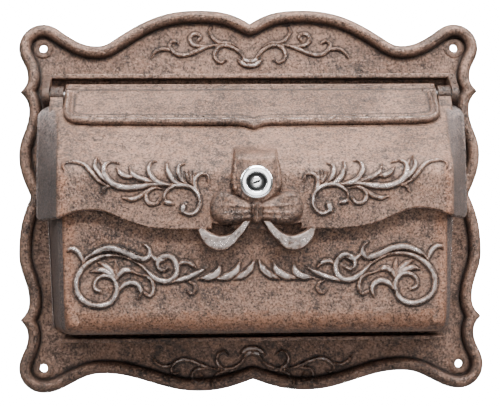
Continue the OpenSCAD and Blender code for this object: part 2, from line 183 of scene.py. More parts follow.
def relief(points, strokes):
    """Height of the relief at each point, and how near the point is to a band's foot."""
    height = np.zeros(len(points))
    foot = np.full(len(points), 99.0)
    for path, half, tall in strokes:
        reach = half.max() + 3
        low, high = path.min(0) - reach, path.max(0) + reach
        near = np.where(((points > low) & (points < high)).all(1))[0]
        if not len(near):
            continue
        p = points[near][:, None]
        a, ab = path[:-1][None], np.diff(path, axis=0)[None]
        t = np.clip(((p - a) * ab).sum(-1) / (ab**2).sum(-1), 0, 1)
        d = np.linalg.norm(p - a - t[..., None] * ab, axis=-1)
        best = d.argmin(1)
        rows = np.arange(len(near))
        d, t = d[rows, best], t[rows, best]
        w = half[best] * (1 - t) + half[best + 1] * t
        h = tall[best] * (1 - t) + tall[best + 1] * t
        s = np.clip(d / w, 0, 1)
        height[near] = np.maximum(height[near], h * (1 - s**2.2) ** 0.62)
        foot[near] = np.minimum(foot[near], d - w)
    return height, foot


def band_points(strokes):
    """Points in rows along every band, so that its crest and its foot are clean."""
    rows = []
    for path, half, _ in strokes:
        side = unit(np.gradient(path, axis=0))[:, ::-1] * [-1, 1]
        for s in (0, 0.5, -0.5, 0.82, -0.82, 1, -1):
            rows.append(path + side * (half * s)[:, None])
        rows.append(path + side * (half + 0.6)[:, None])
        rows.append(path - side * (half + 0.6)[:, None])
    return np.vstack(rows)


# ---- meshes ----------------------------------------------------------------------

def triangles(loops, inner):
    """Triangles of the region inside the first loop and outside the others."""
    points = np.vstack(loops + [inner]) if len(inner) else np.vstack(loops)
    edges, start = [], 0
    for l in loops:
        ids = range(start, start + len(l))
        edges += [(i, start + (i - start + 1) % len(l)) for i in ids]
        start += len(l)
    out = delaunay_2d_cdt([Vector(p) for p in points], edges, [], 1, 1e-6, True)
    verts = np.array([tuple(v) for v in out[0]])
    place = np.zeros(len(points), int)
    for new, olds in enumerate(out[3]):
        for old in olds:
            place[old] = new
    rings, start = [], 0
    for l in loops:
        rings.append(place[start:start + len(l)])
        start += len(l)
    tris = np.array(out[2])
    mid = verts[tris].mean(1)
    keep = inside(mid, verts[rings[0]])
    for ring in rings[1:]:
        keep &= ~inside(mid, verts[ring])
    tris = tris[keep]
    a, b, c = (verts[tris[:, i]] for i in range(3))
    back = (b[:, 0] - a[:, 0]) * (c[:, 1] - a[:, 1]) < (c[:, 0] - a[:, 0]) * (b[:, 1] - a[:, 1])
    tris[back] = tris[back][:, ::-1]
    return verts, tris, rings


class Piece:
    """Collects vertices (x, depth, z) and faces. Each vertex has its wear with painted highlight, its
    painted shade and a tone, which is above 0 where rust shows and below 0 where a cool grey is painted on
    the cheeks as their reflection."""

    def __init__(self):
        self.co, self.faces = [], []
        self.wear, self.dirt, self.rust_and_reflection = [], [], []
        self.count = 0

    def add(self, co, faces, wear=None, dirt=None, rust_and_reflection=None):
        co = np.asarray(co, float)
        n = len(co)
        self.co.append(co)
        for store, given in ((self.wear, wear), (self.dirt, dirt), (self.rust_and_reflection, rust_and_reflection)):
            store.append(np.zeros(n) if given is None else given)
        start = self.count
        self.faces += [tuple(int(i) + start for i in f) for f in faces]
        self.count += n
        return start

    def wall(self, a, b):
        """Faces between two closed rings of vertex numbers."""
        a, b = list(map(int, a)), list(map(int, b))
        for i in range(len(a)):
            j = (i + 1) % len(a)
            self.faces.append((a[i], b[i], b[j], a[j]))

    def build(self, name, weld=0.0):
        co = np.vstack(self.co) * MM
        co = co * [1, -1, 1]
        mesh = bpy.data.meshes.new(name)
        mesh.from_pydata(co.tolist(), [], self.faces)
        for label, values in (("wear", self.wear), ("dirt", self.dirt), ("rust_and_reflection", self.rust_and_reflection)):
            att = mesh.attributes.new(label, "FLOAT", "POINT")
            att.data.foreach_set("value", np.concatenate(values).astype(np.float32))
        obj = bpy.data.objects.new(name, mesh)
        bpy.context.scene.collection.objects.link(obj)
        tidy(obj, weld * MM)
        return obj


def tidy(obj, weld):
    """Welds doubles, fills the small gaps that this leaves, and turns every face outwards."""
    bm = bmesh.new()
    bm.from_mesh(obj.data)
    if weld:
        bmesh.ops.remove_doubles(bm, verts=bm.verts, dist=weld)
        gaps = [e for e in bm.edges if e.is_boundary]
        bmesh.ops.holes_fill(bm, edges=gaps, sides=8)
    bmesh.ops.recalc_face_normals(bm, faces=bm.faces)
    bm.to_mesh(obj.data)
    bm.free()


def sheet(piece, loops, front, back, front_inner, back_inner):
    """A watertight sheet: front and back skins over one flat domain, joined at its loops.
    front and back turn flat points into (position, wear with painted highlight, painted shade) or (...,
    rust and painted reflection)."""
    pf, tf, rf = triangles(loops, front_inner)
    pb, tb, rb = triangles(loops, back_inner)
    sf = piece.add(*with_faces(front(pf), tf))
    sb = piece.add(*with_faces(back(pb), tb[:, ::-1]))
    for a, b in zip(rf, rb):
        piece.wall(a + sf, b + sb)


def with_faces(skin, tris):
    return (skin[0], tris) + tuple(skin[1:])


def apply_all(obj):
    """Replaces an object's mesh with its mesh after modifiers."""
    graph = bpy.context.evaluated_depsgraph_get()
    mesh = bpy.data.meshes.new_from_object(obj.evaluated_get(graph))
    obj.modifiers.clear()
    old = obj.data
    obj.data = mesh
    bpy.data.meshes.remove(old)


def combine(obj, others, operation):
    """Joins other solids to obj, or cuts them from it."""
    for other in others:
        m = obj.modifiers.new("solid", "BOOLEAN")
        m.solver = "MANIFOLD"
        m.operation = operation
        m.object = other
    apply_all(obj)
    for other in others:
        bpy.data.objects.remove(other)
    return obj


def prism(points, place, low, high, round_by=0.0, wear=0.25, dirt=0.0):
    """Solid between two levels of an outline. place(u, v, level) gives (x, depth, z)."""
    loop = turning(np.asarray(points, float), True)
    n = len(loop)
    piece = Piece()
    co = [place(u, v, low) for u, v in loop] + [place(u, v, high) for u, v in loop]
    sides = [(i, (i + 1) % n, n + (i + 1) % n, n + i) for i in range(n)]
    ends = [tuple(range(n))[::-1], tuple(range(n, 2 * n))]
    piece.add(co, sides + ends, np.full(2 * n, wear), np.full(2 * n, dirt))
    obj = piece.build("part")
    if round_by:
        m = obj.modifiers.new("round", "BEVEL")
        m.width = round_by * MM
        m.segments = 3
        m.limit_method = "ANGLE"
        m.angle_limit = math.radians(32)
        apply_all(obj)
    return obj


def lathe(piece, profile, place, n, wear, dirt):
    """Rings of vertices round an axis. profile is (along, radius) or (along, radius, painted shade)."""
    out = []
    a = np.linspace(0, 2 * math.pi, n, endpoint=False)
    for along, r, *own in profile:
        co = [place(along, r * math.cos(t), r * math.sin(t)) for t in a]
        ring_shade = float(own[0] if own else dirt)
        start = piece.add(co, [], np.full(n, wear), np.full(n, ring_shade))
        out.append(range(start, start + n))
    return out


def turned(profile, place, n=64, wear=0.3, dirt=0.0):
    """Solid of revolution of a profile, as lathe takes it. place(along, a, b) gives (x, depth, z)."""
    piece = Piece()
    steps = lathe(piece, profile, place, n, wear, dirt)
    for a, b in zip(steps, steps[1:]):
        piece.wall(a, b)
    piece.faces += [tuple(steps[0]), tuple(steps[-1])[::-1]]
    return piece.build("part")


def smooth(obj, angle=38):
    obj.data.polygons.foreach_set("use_smooth", [True] * len(obj.data.polygons))
    obj.data.set_sharp_from_angle(angle=math.radians(angle))
    return obj


# ---- sizes worked out from the frame ---------------------------------------------

def span(node):
    low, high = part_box(node)
    return np.array(low) / MM, np.array(high) / MM


_, plate_high = span("wall_plate")
box_low, _ = span("box_shell")
pin_low, pin_high = span("hinge_pin_right")
bezel_low, bezel_high = span("lock_housing")
_, plug_high = span("lock_plug")
cam_low, _ = span("lock_cam")

HALF_W = plate_high[0]
# Height, lobes and moulding of the wall plate
HALF_H = 146.8
LOBE_R = 19.5
HOLE_X = HALF_W - LOBE_R
HOLE_Z = HALF_H - LOBE_R
HOLE_R = 3.0
PLATE_T = 4.0
RIM_W = 10.5
RIM_TOP = 11.0
# Hinge rail, bottom ledge and the hinge they carry
END_MARGIN = 41.3
RAIL_TOP = HALF_H - END_MARGIN
RAIL_D = 14.0
RAIL_T = 4.0
LEDGE_BOTTOM = -HALF_H + END_MARGIN
LEDGE_D = 42.0
LEDGE_T = 3.0
LEDGE_HALF = 148.0
EAR_R = 7.5
HINGE_D = -(pin_low[1] + pin_high[1]) / 2
HINGE_Z = (pin_low[2] + pin_high[2]) / 2
PIN_R = (pin_high[2] - pin_low[2]) / 2
PIN_GAP = 0.07
# Lock: its axis, the ends of its barrel and plug, and the slant of its key slot
LOCK_Z = (bezel_low[2] + bezel_high[2]) / 2
BARREL_BACK = -bezel_high[1]
PLUG_SHOULDER = -cam_low[1]
PLUG_END = -plug_high[1]
KEY_SLANT = math.radians(20)
# Lid and box
SLOPE = math.radians(44)
FACE_D = 90.0
WALL = 4.0
BOX_D = -box_low[1]
BOX_BOTTOM = box_low[2]


# ---- wall plate ------------------------------------------------------------------

def plate_outline():
    w, h, hx, hz = HALF_W, HALF_H, HOLE_X, HOLE_Z
    right = chain([
        (0, h + 0.6, 0, 33), (0.255 * hx, h + 11.4, 0, 0),
        (hx - 59, h - 10.4, -33, -33), (hx - 43, h - 17.4, 0, 0),
        (hx - 21, h - 10.2, 31, 31), (hx, h, 0, 0), (w, hz, -90, -90),
        (w - 7, hz - 23, -90, -90), (w - 0.8, hz - 35, -44, -136),
        (w - 8, hz - 50, -90, -90), (w, 0.33 * hz, -90, -90),
        (w - 9.4, 0.067 * hz, -113, -66), (w, -0.29 * hz, -90, -90),
        (w - 8, -hz + 52.5, -90, -90), (w - 0.8, -hz + 38, -44, -136),
        (w - 7, -hz + 25, -90, -90), (w, -hz, -90, -90), (hx, -h, 180, 180),
        (hx - 21, -h + 6.6, 153, 153), (hx - 46, -h + 14.7, 180, 180),
        (hx - 75, -h + 10.2, 196, 196), (0.255 * hx, -h, 180, 180),
        (0, -h + 9, 160, 0),
    ])
    return turning(even(mirrored(right), 1.1, True), True)


def crest_strokes():
    """Right half of the scrolls at the top of the plate."""
    return [
        stroke([(4.5, 118), (9, 124.5), (15, 128.3), (21, 129.6), (26, 127.2), (28.6, 122),
                (27, 117.4), (23, 115.6), (19.6, 118)], 3.4, 1.9, (0.7, 0.5)),
        stroke([(10, 128.5), (16, 131.3), (22, 131.6), (27, 133), (31, 137), (32.6, 141),
                (31.2, 144.3)], 3.2, 1.8, (0.2, 0.5)),
        stroke([(23, 131), (28, 129.8), (34, 128.4), (40, 126.2), (47, 123.2), (54, 121.6),
                (60, 123), (64, 127), (64.6, 130.6), (61.6, 133), (58.4, 131.6)],
               3.6, 2.0, (0.3, 0.6)),
        stroke([(60, 124), (66, 126.3), (72, 126.4), (77, 123.4), (79.2, 120)],
               3.2, 1.8, (0.4, 0.6)),
        stroke([(33, 129), (40, 129), (45.5, 130), (48.3, 134), (46.6, 138), (42.6, 139),
                (39.6, 136.4), (41.6, 133.6)], 3.4, 1.9, (0.2, 0.7)),
        stroke([(28, 130), (26, 127), (28, 123)], 2.6, 1.4, (0.6, 0.4)),
        stroke([(0, 113.2), (4, 113.6), (8, 116.4), (9.6, 118)], 4.2, 2.2, (1, 0.4)),
        stroke([(1.6, 116.6), (4.4, 117.6)], 4.6, 2.6, (0.9, 0.9)),
    ]


def rim_height(t):
    """Half-round moulding along the plate's edge, by distance from the edge."""
    mid = RIM_W / 2
    s = np.clip((t - mid) / mid, -1, 1)
    outer = 2.2 + (RIM_TOP - 2.2) * np.sqrt(1 - s**2) ** 0.9
    crease = PLATE_T - 0.5
    inner = crease + (RIM_TOP - crease) * np.sqrt(1 - s**2) ** 0.95
    field = PLATE_T - 0.5 * np.exp(-((t - RIM_W) / 1.6) ** 2)
    return np.where(t < mid, outer, np.where(t < RIM_W, inner, field))


def plate_casting():
    outline = plate_outline()
    holes = []
    for x in (-HOLE_X, HOLE_X):
        for z in (-HOLE_Z, HOLE_Z):
            holes.append(turning(arc(x, z, HOLE_R, 0, 360, 40)[:-1], False))
    top = both(crest_strokes())
    bottom = [(p * [1, -1], w, h) for p, w, h in top]
    strokes = top + bottom
    away = distance_to([outline])
    hole_away = distance_to(holes)

    def front(p):
        t = away(p)
        height, foot = relief(p, strokes)
        d = rim_height(t) + height
        boss = np.hypot(np.abs(p[:, 0]) - HOLE_X, np.abs(p[:, 1]) - HOLE_Z)
        d = np.maximum(d, PLATE_T + 0.9 * np.clip((8.2 - boss) / 1.2, 0, 1) ** 0.7)
        d -= 0.7 * np.clip(1 - (boss - HOLE_R) / 1.2, 0, 1)
        d += 0.16 * ripple(p[:, 0], p[:, 1], 26, 5) * np.clip((t - RIM_W) / 6, 0.3, 1)
        # tops of the relief and the rim's crest: rubbed iron and painted highlight
        wear = np.clip(height / 2.2, 0, 1)
        crest = np.exp(-((t - RIM_W * 0.55) / 1.5) ** 2)
        wear = np.maximum(wear, 0.75 * crest)
        # painted shade at the feet of the relief and in the crease inside the rim
        dirt = np.exp(-(np.clip(foot, 0, 9) / 1.1) ** 2) * (height < 0.5)
        dirt = np.maximum(dirt, np.exp(-((t - RIM_W) / 1.5) ** 2))
        return np.stack([p[:, 0], d, p[:, 1]], 1), wear, dirt

    def back(p):
        rim = np.clip(1 - hole_away(p) / 0.5, 0, 1) * 0.3
        # the back skin gets painted shade
        return np.stack([p[:, 0], rim, p[:, 1]], 1), 0 * p[:, 0], 0 * p[:, 0] + 0.3

    offsets = [0.25, 0.7, 1.3, 2.1, 3.0, 4.1, 5.25, 6.4, 7.5, 8.4, 9.2, 9.8, 10.2, 10.5, 11.2, 12.6]
    rows = offset_rows(outline, offsets, away)
    ring = np.vstack([arc(x, z, r, 0, 360, 40)[:-1] for x in (-HOLE_X, HOLE_X)
                      for z in (-HOLE_Z, HOLE_Z) for r in (3.3, 3.8, 4.6, 6.9, 7.6, 8.3, 9.2)])
    bands = band_points(strokes)
    fine = honeycomb(-84, 84, -148, 148, 1.5)
    fine = fine[(np.abs(fine[:, 1]) > 108)]
    _, foot = relief(fine, strokes)
    fine = fine[(foot > 0.9) & (foot < 3.5)]
    coarse = honeycomb(-HALF_W, HALF_W, -160, 160, 3.6)
    _, foot = relief(coarse, strokes)
    coarse = coarse[foot > 3.0]
    grid = np.vstack([fine, coarse])
    grid = grid[inside(grid, outline)]
    grid = grid[away(grid) > 13.5]
    grid = grid[hole_away(grid) > 7]
    bands = bands[away(bands) > 13]
    inner = thin_out([ring, bands, rows, grid], 0.3)
    back_grid = honeycomb(-HALF_W, HALF_W, -160, 160, 7)
    back_grid = back_grid[inside(back_grid, outline)]
    back_grid = back_grid[(away(back_grid) > 3) & (hole_away(back_grid) > 2)]
    piece = Piece()
    sheet(piece, [outline] + holes, front, back, inner, back_grid)
    return piece.build("plate_iron")


def offset_rows(loop, distances, away):
    """Rows of points at set distances inside a loop, cleared where the loop folds in."""
    t = unit(np.roll(loop, -1, 0) - np.roll(loop, 1, 0))
    side = np.stack([-t[:, 1], t[:, 0]], 1)
    rows = []
    for d in distances:
        row = loop + side * d
        rows.append(row[away(row) > d - 0.06])
    return np.vstack(rows)


def on_hinge(along, a, b):
    """Place round the hinge axis: along the axis, then two directions across it."""
    return along, HINGE_D + a, HINGE_Z + b


def in_profile(u, v, level):
    """Outline drawn as (depth, z) and extruded across the width."""
    return level, u, v


def seen_from_front(u, v, level):
    """Outline drawn as (x, z) and extruded outwards in depth."""
    return u, level, v


def block(u0, u1, v0, v1):
    """Outline of a rectangle."""
    return [(u0, v0), (u1, v0), (u1, v1), (u0, v1)]


# hinge knuckles and bosses carry painted shade by default
def rod(x0, x1, r, chamfer=0.5, n=64, wear=0.5, dirt=0.75):
    steps = [(x0, r - chamfer), (x0 + chamfer * 0.3, r - chamfer * 0.3), (x0 + chamfer, r),
             (x1 - chamfer, r), (x1 - chamfer * 0.3, r - chamfer * 0.3), (x1, r - chamfer)]
    return turned(steps, on_hinge, n, wear, dirt)


def plain_rod(x0, x1, r, n=64):
    return turned([(x0, r), (x1, r)], on_hinge, n)


def wall_plate():
    casting = plate_casting()
    rail_half = 159.5
    rail = prism(block(2, RAIL_D, RAIL_TOP - RAIL_T, RAIL_TOP), in_profile,
                 -rail_half, rail_half, 1.1, 0.45)
    ledge = prism(block(2, LEDGE_D, LEDGE_BOTTOM, LEDGE_BOTTOM + LEDGE_T), in_profile,
                  -LEDGE_HALF, LEDGE_HALF, 0.9, 0.5)
    parts = [rail, ledge]
    for side in (-1, 1):
        ear = np.vstack([
            [[2, RAIL_TOP - 0.5], [13.4, RAIL_TOP - 0.5]],
            arc(HINGE_D, HINGE_Z, EAR_R, 55, -105, 22),
            [[2, HINGE_Z - EAR_R - 13.5]],
        ])
        x0, x1 = sorted((side * 158, side * 164))
        # ears darkened with painted shade under the rail
        parts.append(prism(ear, in_profile, x0, x1, 0.8, 0.3, 0.55))
    combine(casting, parts, "UNION")
    cuts = [plain_rod(s * 150, s * 170, PIN_R, 64) for s in (-1, 1)]
    combine(casting, cuts, "DIFFERENCE")
    return smooth(casting)


# ---- box -------------------------------------------------------------------------

LUG_X = 148.0
BOX_REAR = 162.0
KNEE_D = 71.1
BOX_DRAFT = math.tan(math.radians(12.9))
LID_GAP_DROP = 6.3


def body_strokes():
    """Right half of the scrollwork on the box's front."""
    return [
        # long crowning stem with its hook at the lock side and the tail leaf outside
        stroke([(82.5, -31.6), (79.6, -34.6), (79.4, -39.4), (83, -42.2), (89, -41),
                (96, -37.6), (104, -34.9), (112, -34.4), (119, -37), (125, -40.6), (128.6, -45)],
               5.5, 2.9, (0.45, 0.3)),
        stroke([(127.6, -45.4), (129.6, -40), (133, -35.6), (137, -34), (141, -36)], 4.2, 2.4, (0.3, 0.5)),
        # large C-scroll
        stroke([(90, -44), (98, -40.6), (107, -39.4), (117, -41), (125.6, -46), (131.4, -53),
                (133.4, -61), (131.4, -69), (124.6, -74.8), (116, -76.6), (108, -74),
                (104, -68), (103.4, -61.4), (107, -56), (113.4, -54.4), (119, -58), (119.6, -63.6),
                (116, -66)], 4.5, 2.4, (0.3, 0.6)),
        # three-pronged leaf inside it
        stroke([(104.4, -57.6), (107.4, -51.6), (112, -47), (117, -44.6)], 4.8, 2.1, (0.5, 0.25)),
        stroke([(104.8, -57.8), (110, -52.4), (116, -50.2), (122, -51.4)], 4.8, 2.2, (0.5, 0.25)),
        stroke([(104.2, -57.6), (103.6, -51), (104.6, -43.8)], 4.0, 1.6, (0.6, 0.3)),
        stroke([(104, -58), (100.6, -52.6), (96, -50.2), (90, -52.6)], 4.8, 2.2, (0.5, 0.25)),
        # arch and hook under the stem
        stroke([(102.4, -66.4), (98.6, -61.6), (93, -59.6), (88, -61.6), (86, -66.6), (87.4, -71.6)],
               4.5, 2.4, (0.5, 0.3)),
        stroke([(88, -53.6), (81, -55.4), (77, -60.4), (76.6, -65.8), (79, -69.6), (83, -67.6)],
               3.5, 1.9, (0.3, 0.7)),
        # middle scroll
        stroke([(92, -43.4), (85, -47.4), (79, -53.4), (73, -57.6), (66.4, -58.8), (61, -55.6),
                (58.8, -49.6), (61, -43), (66, -40), (71.6, -42), (73.4, -47.4), (70.2, -51.2),
                (66.4, -49.4)], 4.8, 2.5, (0.3, 0.6)),
        stroke([(66, -41.4), (71, -43.4), (75.4, -42), (78.4, -38)], 4.2, 2.2, (0.5, 0.4)),
        # small leaf, and the leafy rope towards the middle
        stroke([(45, -49.6), (49.6, -45.4), (54.6, -44.8), (58, -47.4)], 4.2, 2.1, (0.3, 0.4)),
        stroke([(64, -60), (56, -57.6), (47.6, -54.6), (38, -49.6)], 4.2, 2.5, (0.25, 0.5)),
        stroke([(42, -57), (35, -56), (29.4, -53), (27.4, -47)], 6.4, 2.7, (0.2, 0.35)),
        stroke([(30, -57.6), (22, -55.8), (15.4, -51.6), (12.4, -45)], 6.4, 2.7, (0.2, 0.35)),
        stroke([(17, -57.8), (10.6, -55), (5, -50.4), (1.8, -44.6)], 5.8, 2.6, (0.2, 0.35)),
        # small hook below
        stroke([(51, -59), (46.6, -61.4), (45.4, -65.4), (48.6, -68.2), (51.4, -66)], 3.2, 1.6, (0.4, 0.7)),
    ]


def box_top(d):
    """Height of the cheeks' top edge, clipped under the lid."""
    under = HINGE_Z - LID_GAP_DROP - 8 - (np.minimum(d, KNEE_D) - HINGE_D) * math.tan(SLOPE)
    face = HINGE_Z - LID_GAP_DROP - (BOX_D - HINGE_D) * math.tan(SLOPE) - 9
    knee = HINGE_Z - LID_GAP_DROP - (KNEE_D - HINGE_D) * math.tan(SLOPE)
    past = knee + (np.maximum(d, KNEE_D) - KNEE_D) * (face - knee) / (BOX_D - KNEE_D)
    return np.minimum(65, np.where(d > KNEE_D, past, under))


def box_ring(d, inset, n_cheek=60, n_turn=10, n_base=110):
    """U-shaped section of the box at depth d, from the left top round to the right top."""
    half = BOX_REAR - (d - 4) * BOX_DRAFT - inset
    lean = 5 - 3 * (d - 4) / (BOX_D - 4)
    base = BOX_BOTTOM + inset
    r = max(7 - inset, 2)
    foot = half - lean
    top = float(box_top(np.array(d)))
    z = np.linspace(top, base + r, n_cheek, endpoint=False)
    sag = np.clip((0 - z) / (0 - base), 0, 1)
    cheek = np.stack([half - lean * sag, z], 1)
    turn = arc(foot - r, base + r, r, 0, -90, n_turn)[:-1]
    floor = np.stack([np.linspace(foot - r, 0, n_base), np.full(n_base, base)], 1)
    right = np.vstack([cheek, turn, floor])
    return np.vstack([right * [-1, 1], right[::-1][1:]])


def box_fillet(ring, inset):
    """Radius of the edge between side and front: tight on the cheeks, wide underneath."""
    n = len(ring)
    t = np.abs(np.arange(n) - (n - 1) / 2) / ((n - 1) / 2)
    wide = np.clip((0.72 - t) / 0.12, 0, 1)
    wide = wide * wide * (3 - 2 * wide)
    return np.maximum(3.2 + 12.8 * wide - inset, 1.0)


def box_skin(inset, depths):
    """Rings from the rear to the front face, and the last ring that bounds the face."""
    face = BOX_D - inset
    front = box_ring(face, inset)
    side = unit(np.gradient(front, axis=0))
    inward = np.stack([-side[:, 1], side[:, 0]], 1)
    r = box_fillet(front, inset)
    rings = []
    for k in depths:
        start = (face - r - 4) / (face - 4)
        d = 4 + (face - 4) * k * start
        ring = box_ring(4 + (face - 4) * k * float(start.mean()), inset)
        rings.append(np.stack([ring[:, 0], d, ring[:, 1]], 1))
    for a in np.radians([0, 15, 30, 45, 60, 75, 90]):
        p = front + inward * (r * (1 - math.cos(a)))[:, None]
        rings.append(np.stack([p[:, 0], face - r + r * math.sin(a), p[:, 1]], 1))
    return rings


def box_face_edge(ring, step):
    """Closed outline of the front sheet: the last ring, then the cut-down top edge."""
    left, right = ring[0], ring[-1]
    slot, low = 128.0, 1.23
    corners = [(right[0], right[1]), (slot, right[1]), (slot, low), (-slot, low),
               (-slot, left[1]), (left[0], left[1])]
    path = []
    for a, b in zip(corners, corners[1:]):
        n = max(2, int(round(np.hypot(b[0] - a[0], b[1] - a[1]) / step)))
        path += [np.array(a) + (np.array(b) - np.array(a)) * i / n for i in range(n)]
    return np.array(path[1:])


def box_casting():
    strokes = both(body_strokes())
    piece = Piece()
    loops = []
    for inset in (0.0, WALL):
        depths = [0, 0.01, 0.022, 0.035, 0.05, 0.09] if not inset else [0, 0.05]
        depths = depths + list(np.linspace(0.14, 1, 16 if not inset else 10))[:-1]
        rings = box_skin(inset, depths)
        ring_ids = []
        for k, ring in enumerate(rings):
            co = ring.copy()
            wear, dirt, rust_and_reflection = np.zeros((3, len(co)))
            if not inset:
                bead = {0: 0.5, 1: 1.0, 2: 1.1, 3: 0.6}.get(k, 0)
                flat = co[:, [0, 2]]
                side = unit(np.gradient(flat, axis=0))
                out = np.stack([side[:, 1], -side[:, 0]], 1)
                cheek = co[:, 2] > BOX_BOTTOM + 4
                lump = 0.2 * ripple(co[:, 2], co[:, 1], 30, 9) * (5 < k < len(rings) - 7)
                move = out * (bead * cheek + lump)[:, None]
                co[:, 0] += move[:, 0]
                co[:, 2] += move[:, 1] * cheek
                # rear bead: wear and painted highlight; the band just in front of it: painted shade where
                # the box meets the plate
                wear += 1.3 if k < 4 else 0
                dirt += 0.8 * (3 < k < 6)
                # cheeks: rust at the front edge, painted cool reflection elsewhere
                front_edge = len(rings) - 7 < k
                rust_and_reflection = np.where(cheek, 0.8 if front_edge else -1.0, 0.0) * (k > 3)
            start = piece.add(co, [], wear, dirt, rust_and_reflection)
            ring_ids.append(np.arange(start, start + len(co)))
        for a, b in zip(ring_ids, ring_ids[1:]):
            for i in range(len(a) - 1):
                piece.faces.append((int(a[i]), int(a[i + 1]), int(b[i + 1]), int(b[i])))
        last = rings[-1][:, [0, 2]]
        top = box_face_edge(last, 2.0)
        outline = np.vstack([last, top])
        if not inset:
            away = distance_to([outline])
            bands = band_points(strokes)
            fine = honeycomb(-146, 146, -82, -26, 1.15)
            _, foot = relief(fine, strokes)
            fine = fine[(foot > 0.8) & (foot < 3.2)]
            coarse = honeycomb(-146, 146, -96, 20, 2.6)
            _, foot = relief(coarse, strokes)
            coarse = coarse[foot > 2.8]
            inner = thin_out([bands, np.vstack([fine, coarse])], 0.28)
            inner = inner[inside(inner, outline)]
            inner = inner[away(inner) > 0.9]
        else:
            inner = honeycomb(-146, 146, -96, 20, 7)
            inner = inner[inside(inner, outline)]
            inner = inner[distance_to([outline])(inner) > 2.5]
        points, tris, (edge,) = triangles([outline], inner)
        if not inset:
            height, foot = relief(points, strokes)
            calm = np.clip(away(points) / 8, 0, 1)
            d = BOX_D + height + 0.22 * ripple(points[:, 0], points[:, 1], 30, 3) * calm
            # relief tops: wear and painted highlight; feet of the relief: painted shade; rust near the
            # sides
            wear = np.clip(height / 2.1, 0, 1)
            dirt = np.exp(-(np.clip(foot, 0, 9) / 1.2) ** 2) * (height < 0.5)
            rust_and_reflection = np.clip((np.abs(points[:, 0]) - 133) / 5, 0, 0.8)
        else:
            d = np.full(len(points), BOX_D - inset)
            # inside of the box: painted shade
            wear, dirt, rust_and_reflection = 0 * d, 0 * d + 0.4, 0 * d
        start = piece.add(np.stack([points[:, 0], d, points[:, 1]], 1), tris, wear, dirt, rust_and_reflection)
        edge = edge + start
        open_edge = list(ring_ids[0])
        open_edge += [ids[-1] for ids in ring_ids[1:]]
        open_edge += list(edge[len(last):])
        open_edge += [ids[0] for ids in ring_ids[:0:-1]]
        loops.append((open_edge, [len(depths), len(top)], ring_ids))
    match_rims(piece, loops)
    return piece.build("box_iron", 0.02)


def match_rims(piece, loops):
    """Joins the outer and inner skins along their open edge, which have unlike counts."""
    outer, inner = loops[0][0], loops[1][0]
    co = np.vstack(piece.co)
    marks = []
    for ids, (_, n_top), rings in loops:
        n = len(rings[0])
        k = len(rings) - 1
        marks.append([0, n - 1, n - 1 + k, n - 1 + k + n_top + 1, len(ids)])
    for seg in range(4):
        a = [outer[i % len(outer)] for i in range(marks[0][seg], marks[0][seg + 1] + 1)]
        b = [inner[i % len(inner)] for i in range(marks[1][seg], marks[1][seg + 1] + 1)]
        ta, tb = run_of(co, a), run_of(co, b)
        i = j = 0
        while i < len(a) - 1 or j < len(b) - 1:
            step_a = j == len(b) - 1 or (i < len(a) - 1 and ta[i + 1] <= tb[j + 1])
            if step_a:
                piece.faces.append((int(a[i]), int(a[i + 1]), int(b[j])))
                i += 1
            else:
                piece.faces.append((int(a[i]), int(b[j + 1]), int(b[j])))
                j += 1


def run_of(co, ids):
    """Share of the way along a row of vertices."""
    p = co[np.array(ids)]
    s = np.concatenate([[0], np.cumsum(np.linalg.norm(np.diff(p, axis=0), axis=1))])
    return s / max(s[-1], 1e-9)


def box_shell():
    casting = box_casting()
    lugs, bores = [], []
    for x in (-LUG_X, LUG_X):
        for z in (BOX_BOTTOM + 20, 47):
            def along(s, a, b, x=x, z=z):
                return x + a, s, z + b
            lugs.append(turned([(4.0, 7), (18.4, 7), (19, 6.4)], along, 40))
            reach = sorted((x, math.copysign(154.5, x)))
            lugs.append(prism(block(4, 19, z - 3, z + 3), in_profile, *reach, 0.4))
            bores.append(turned([(2, 2.5), (22, 2.5)], along, 40))
    combine(casting, lugs, "UNION")
    combine(casting, bores, "DIFFERENCE")
    return smooth(casting)


# ---- lid -------------------------------------------------------------------------

LID_START = 12.0
LID_REAR_D = HINGE_D + LID_START * math.cos(SLOPE)
LID_REAR_HALF = 167.5
CREASE_REAR = 150.0
CREASE_FRONT = 146.6
SHOULDER = 11.0
CORNER_Z = HINGE_Z - (FACE_D - HINGE_D) * math.tan(SLOPE)
BEND_R = 18.0
BEND_Z = CORNER_Z - BEND_R * math.tan(math.radians(23))
BEND_D = FACE_D - BEND_R
SLOPE_LEN = (BEND_D + BEND_R * math.sin(SLOPE) - LID_REAR_D) / math.cos(SLOPE)
BEND_LEN = BEND_R * (math.pi / 2 - SLOPE)
LID_LOW = CORNER_Z - 45.2
CHEEK_LOW = LID_LOW + 9
LID_LEN = SLOPE_LEN + BEND_LEN + BEND_Z - LID_LOW
SLOT_HALF = 128.0
SLOT_S = 22.0
THIN_START = WALL * math.tan(SLOPE)


def lid_profile(v):
    """Depth, height and outward normal of the lid at distance v from its rear edge."""
    v = np.asarray(v, float)
    a = SLOPE + np.clip((v - SLOPE_LEN) / BEND_R, 0, math.pi / 2 - SLOPE)
    nd, nz = np.sin(a), np.cos(a)
    s = np.minimum(v, SLOPE_LEN)
    d = np.where(v < SLOPE_LEN, LID_REAR_D + s * math.cos(SLOPE), BEND_D + BEND_R * nd)
    z = np.where(v < SLOPE_LEN, HINGE_Z - (LID_START + s) * math.sin(SLOPE), BEND_Z + BEND_R * nz)
    z = np.where(v > SLOPE_LEN + BEND_LEN, BEND_Z - (v - SLOPE_LEN - BEND_LEN), z)
    return d, z, nd, nz


def v_at(z):
    """Distance v of a height on the lid's front face."""
    return SLOPE_LEN + BEND_LEN + BEND_Z - z


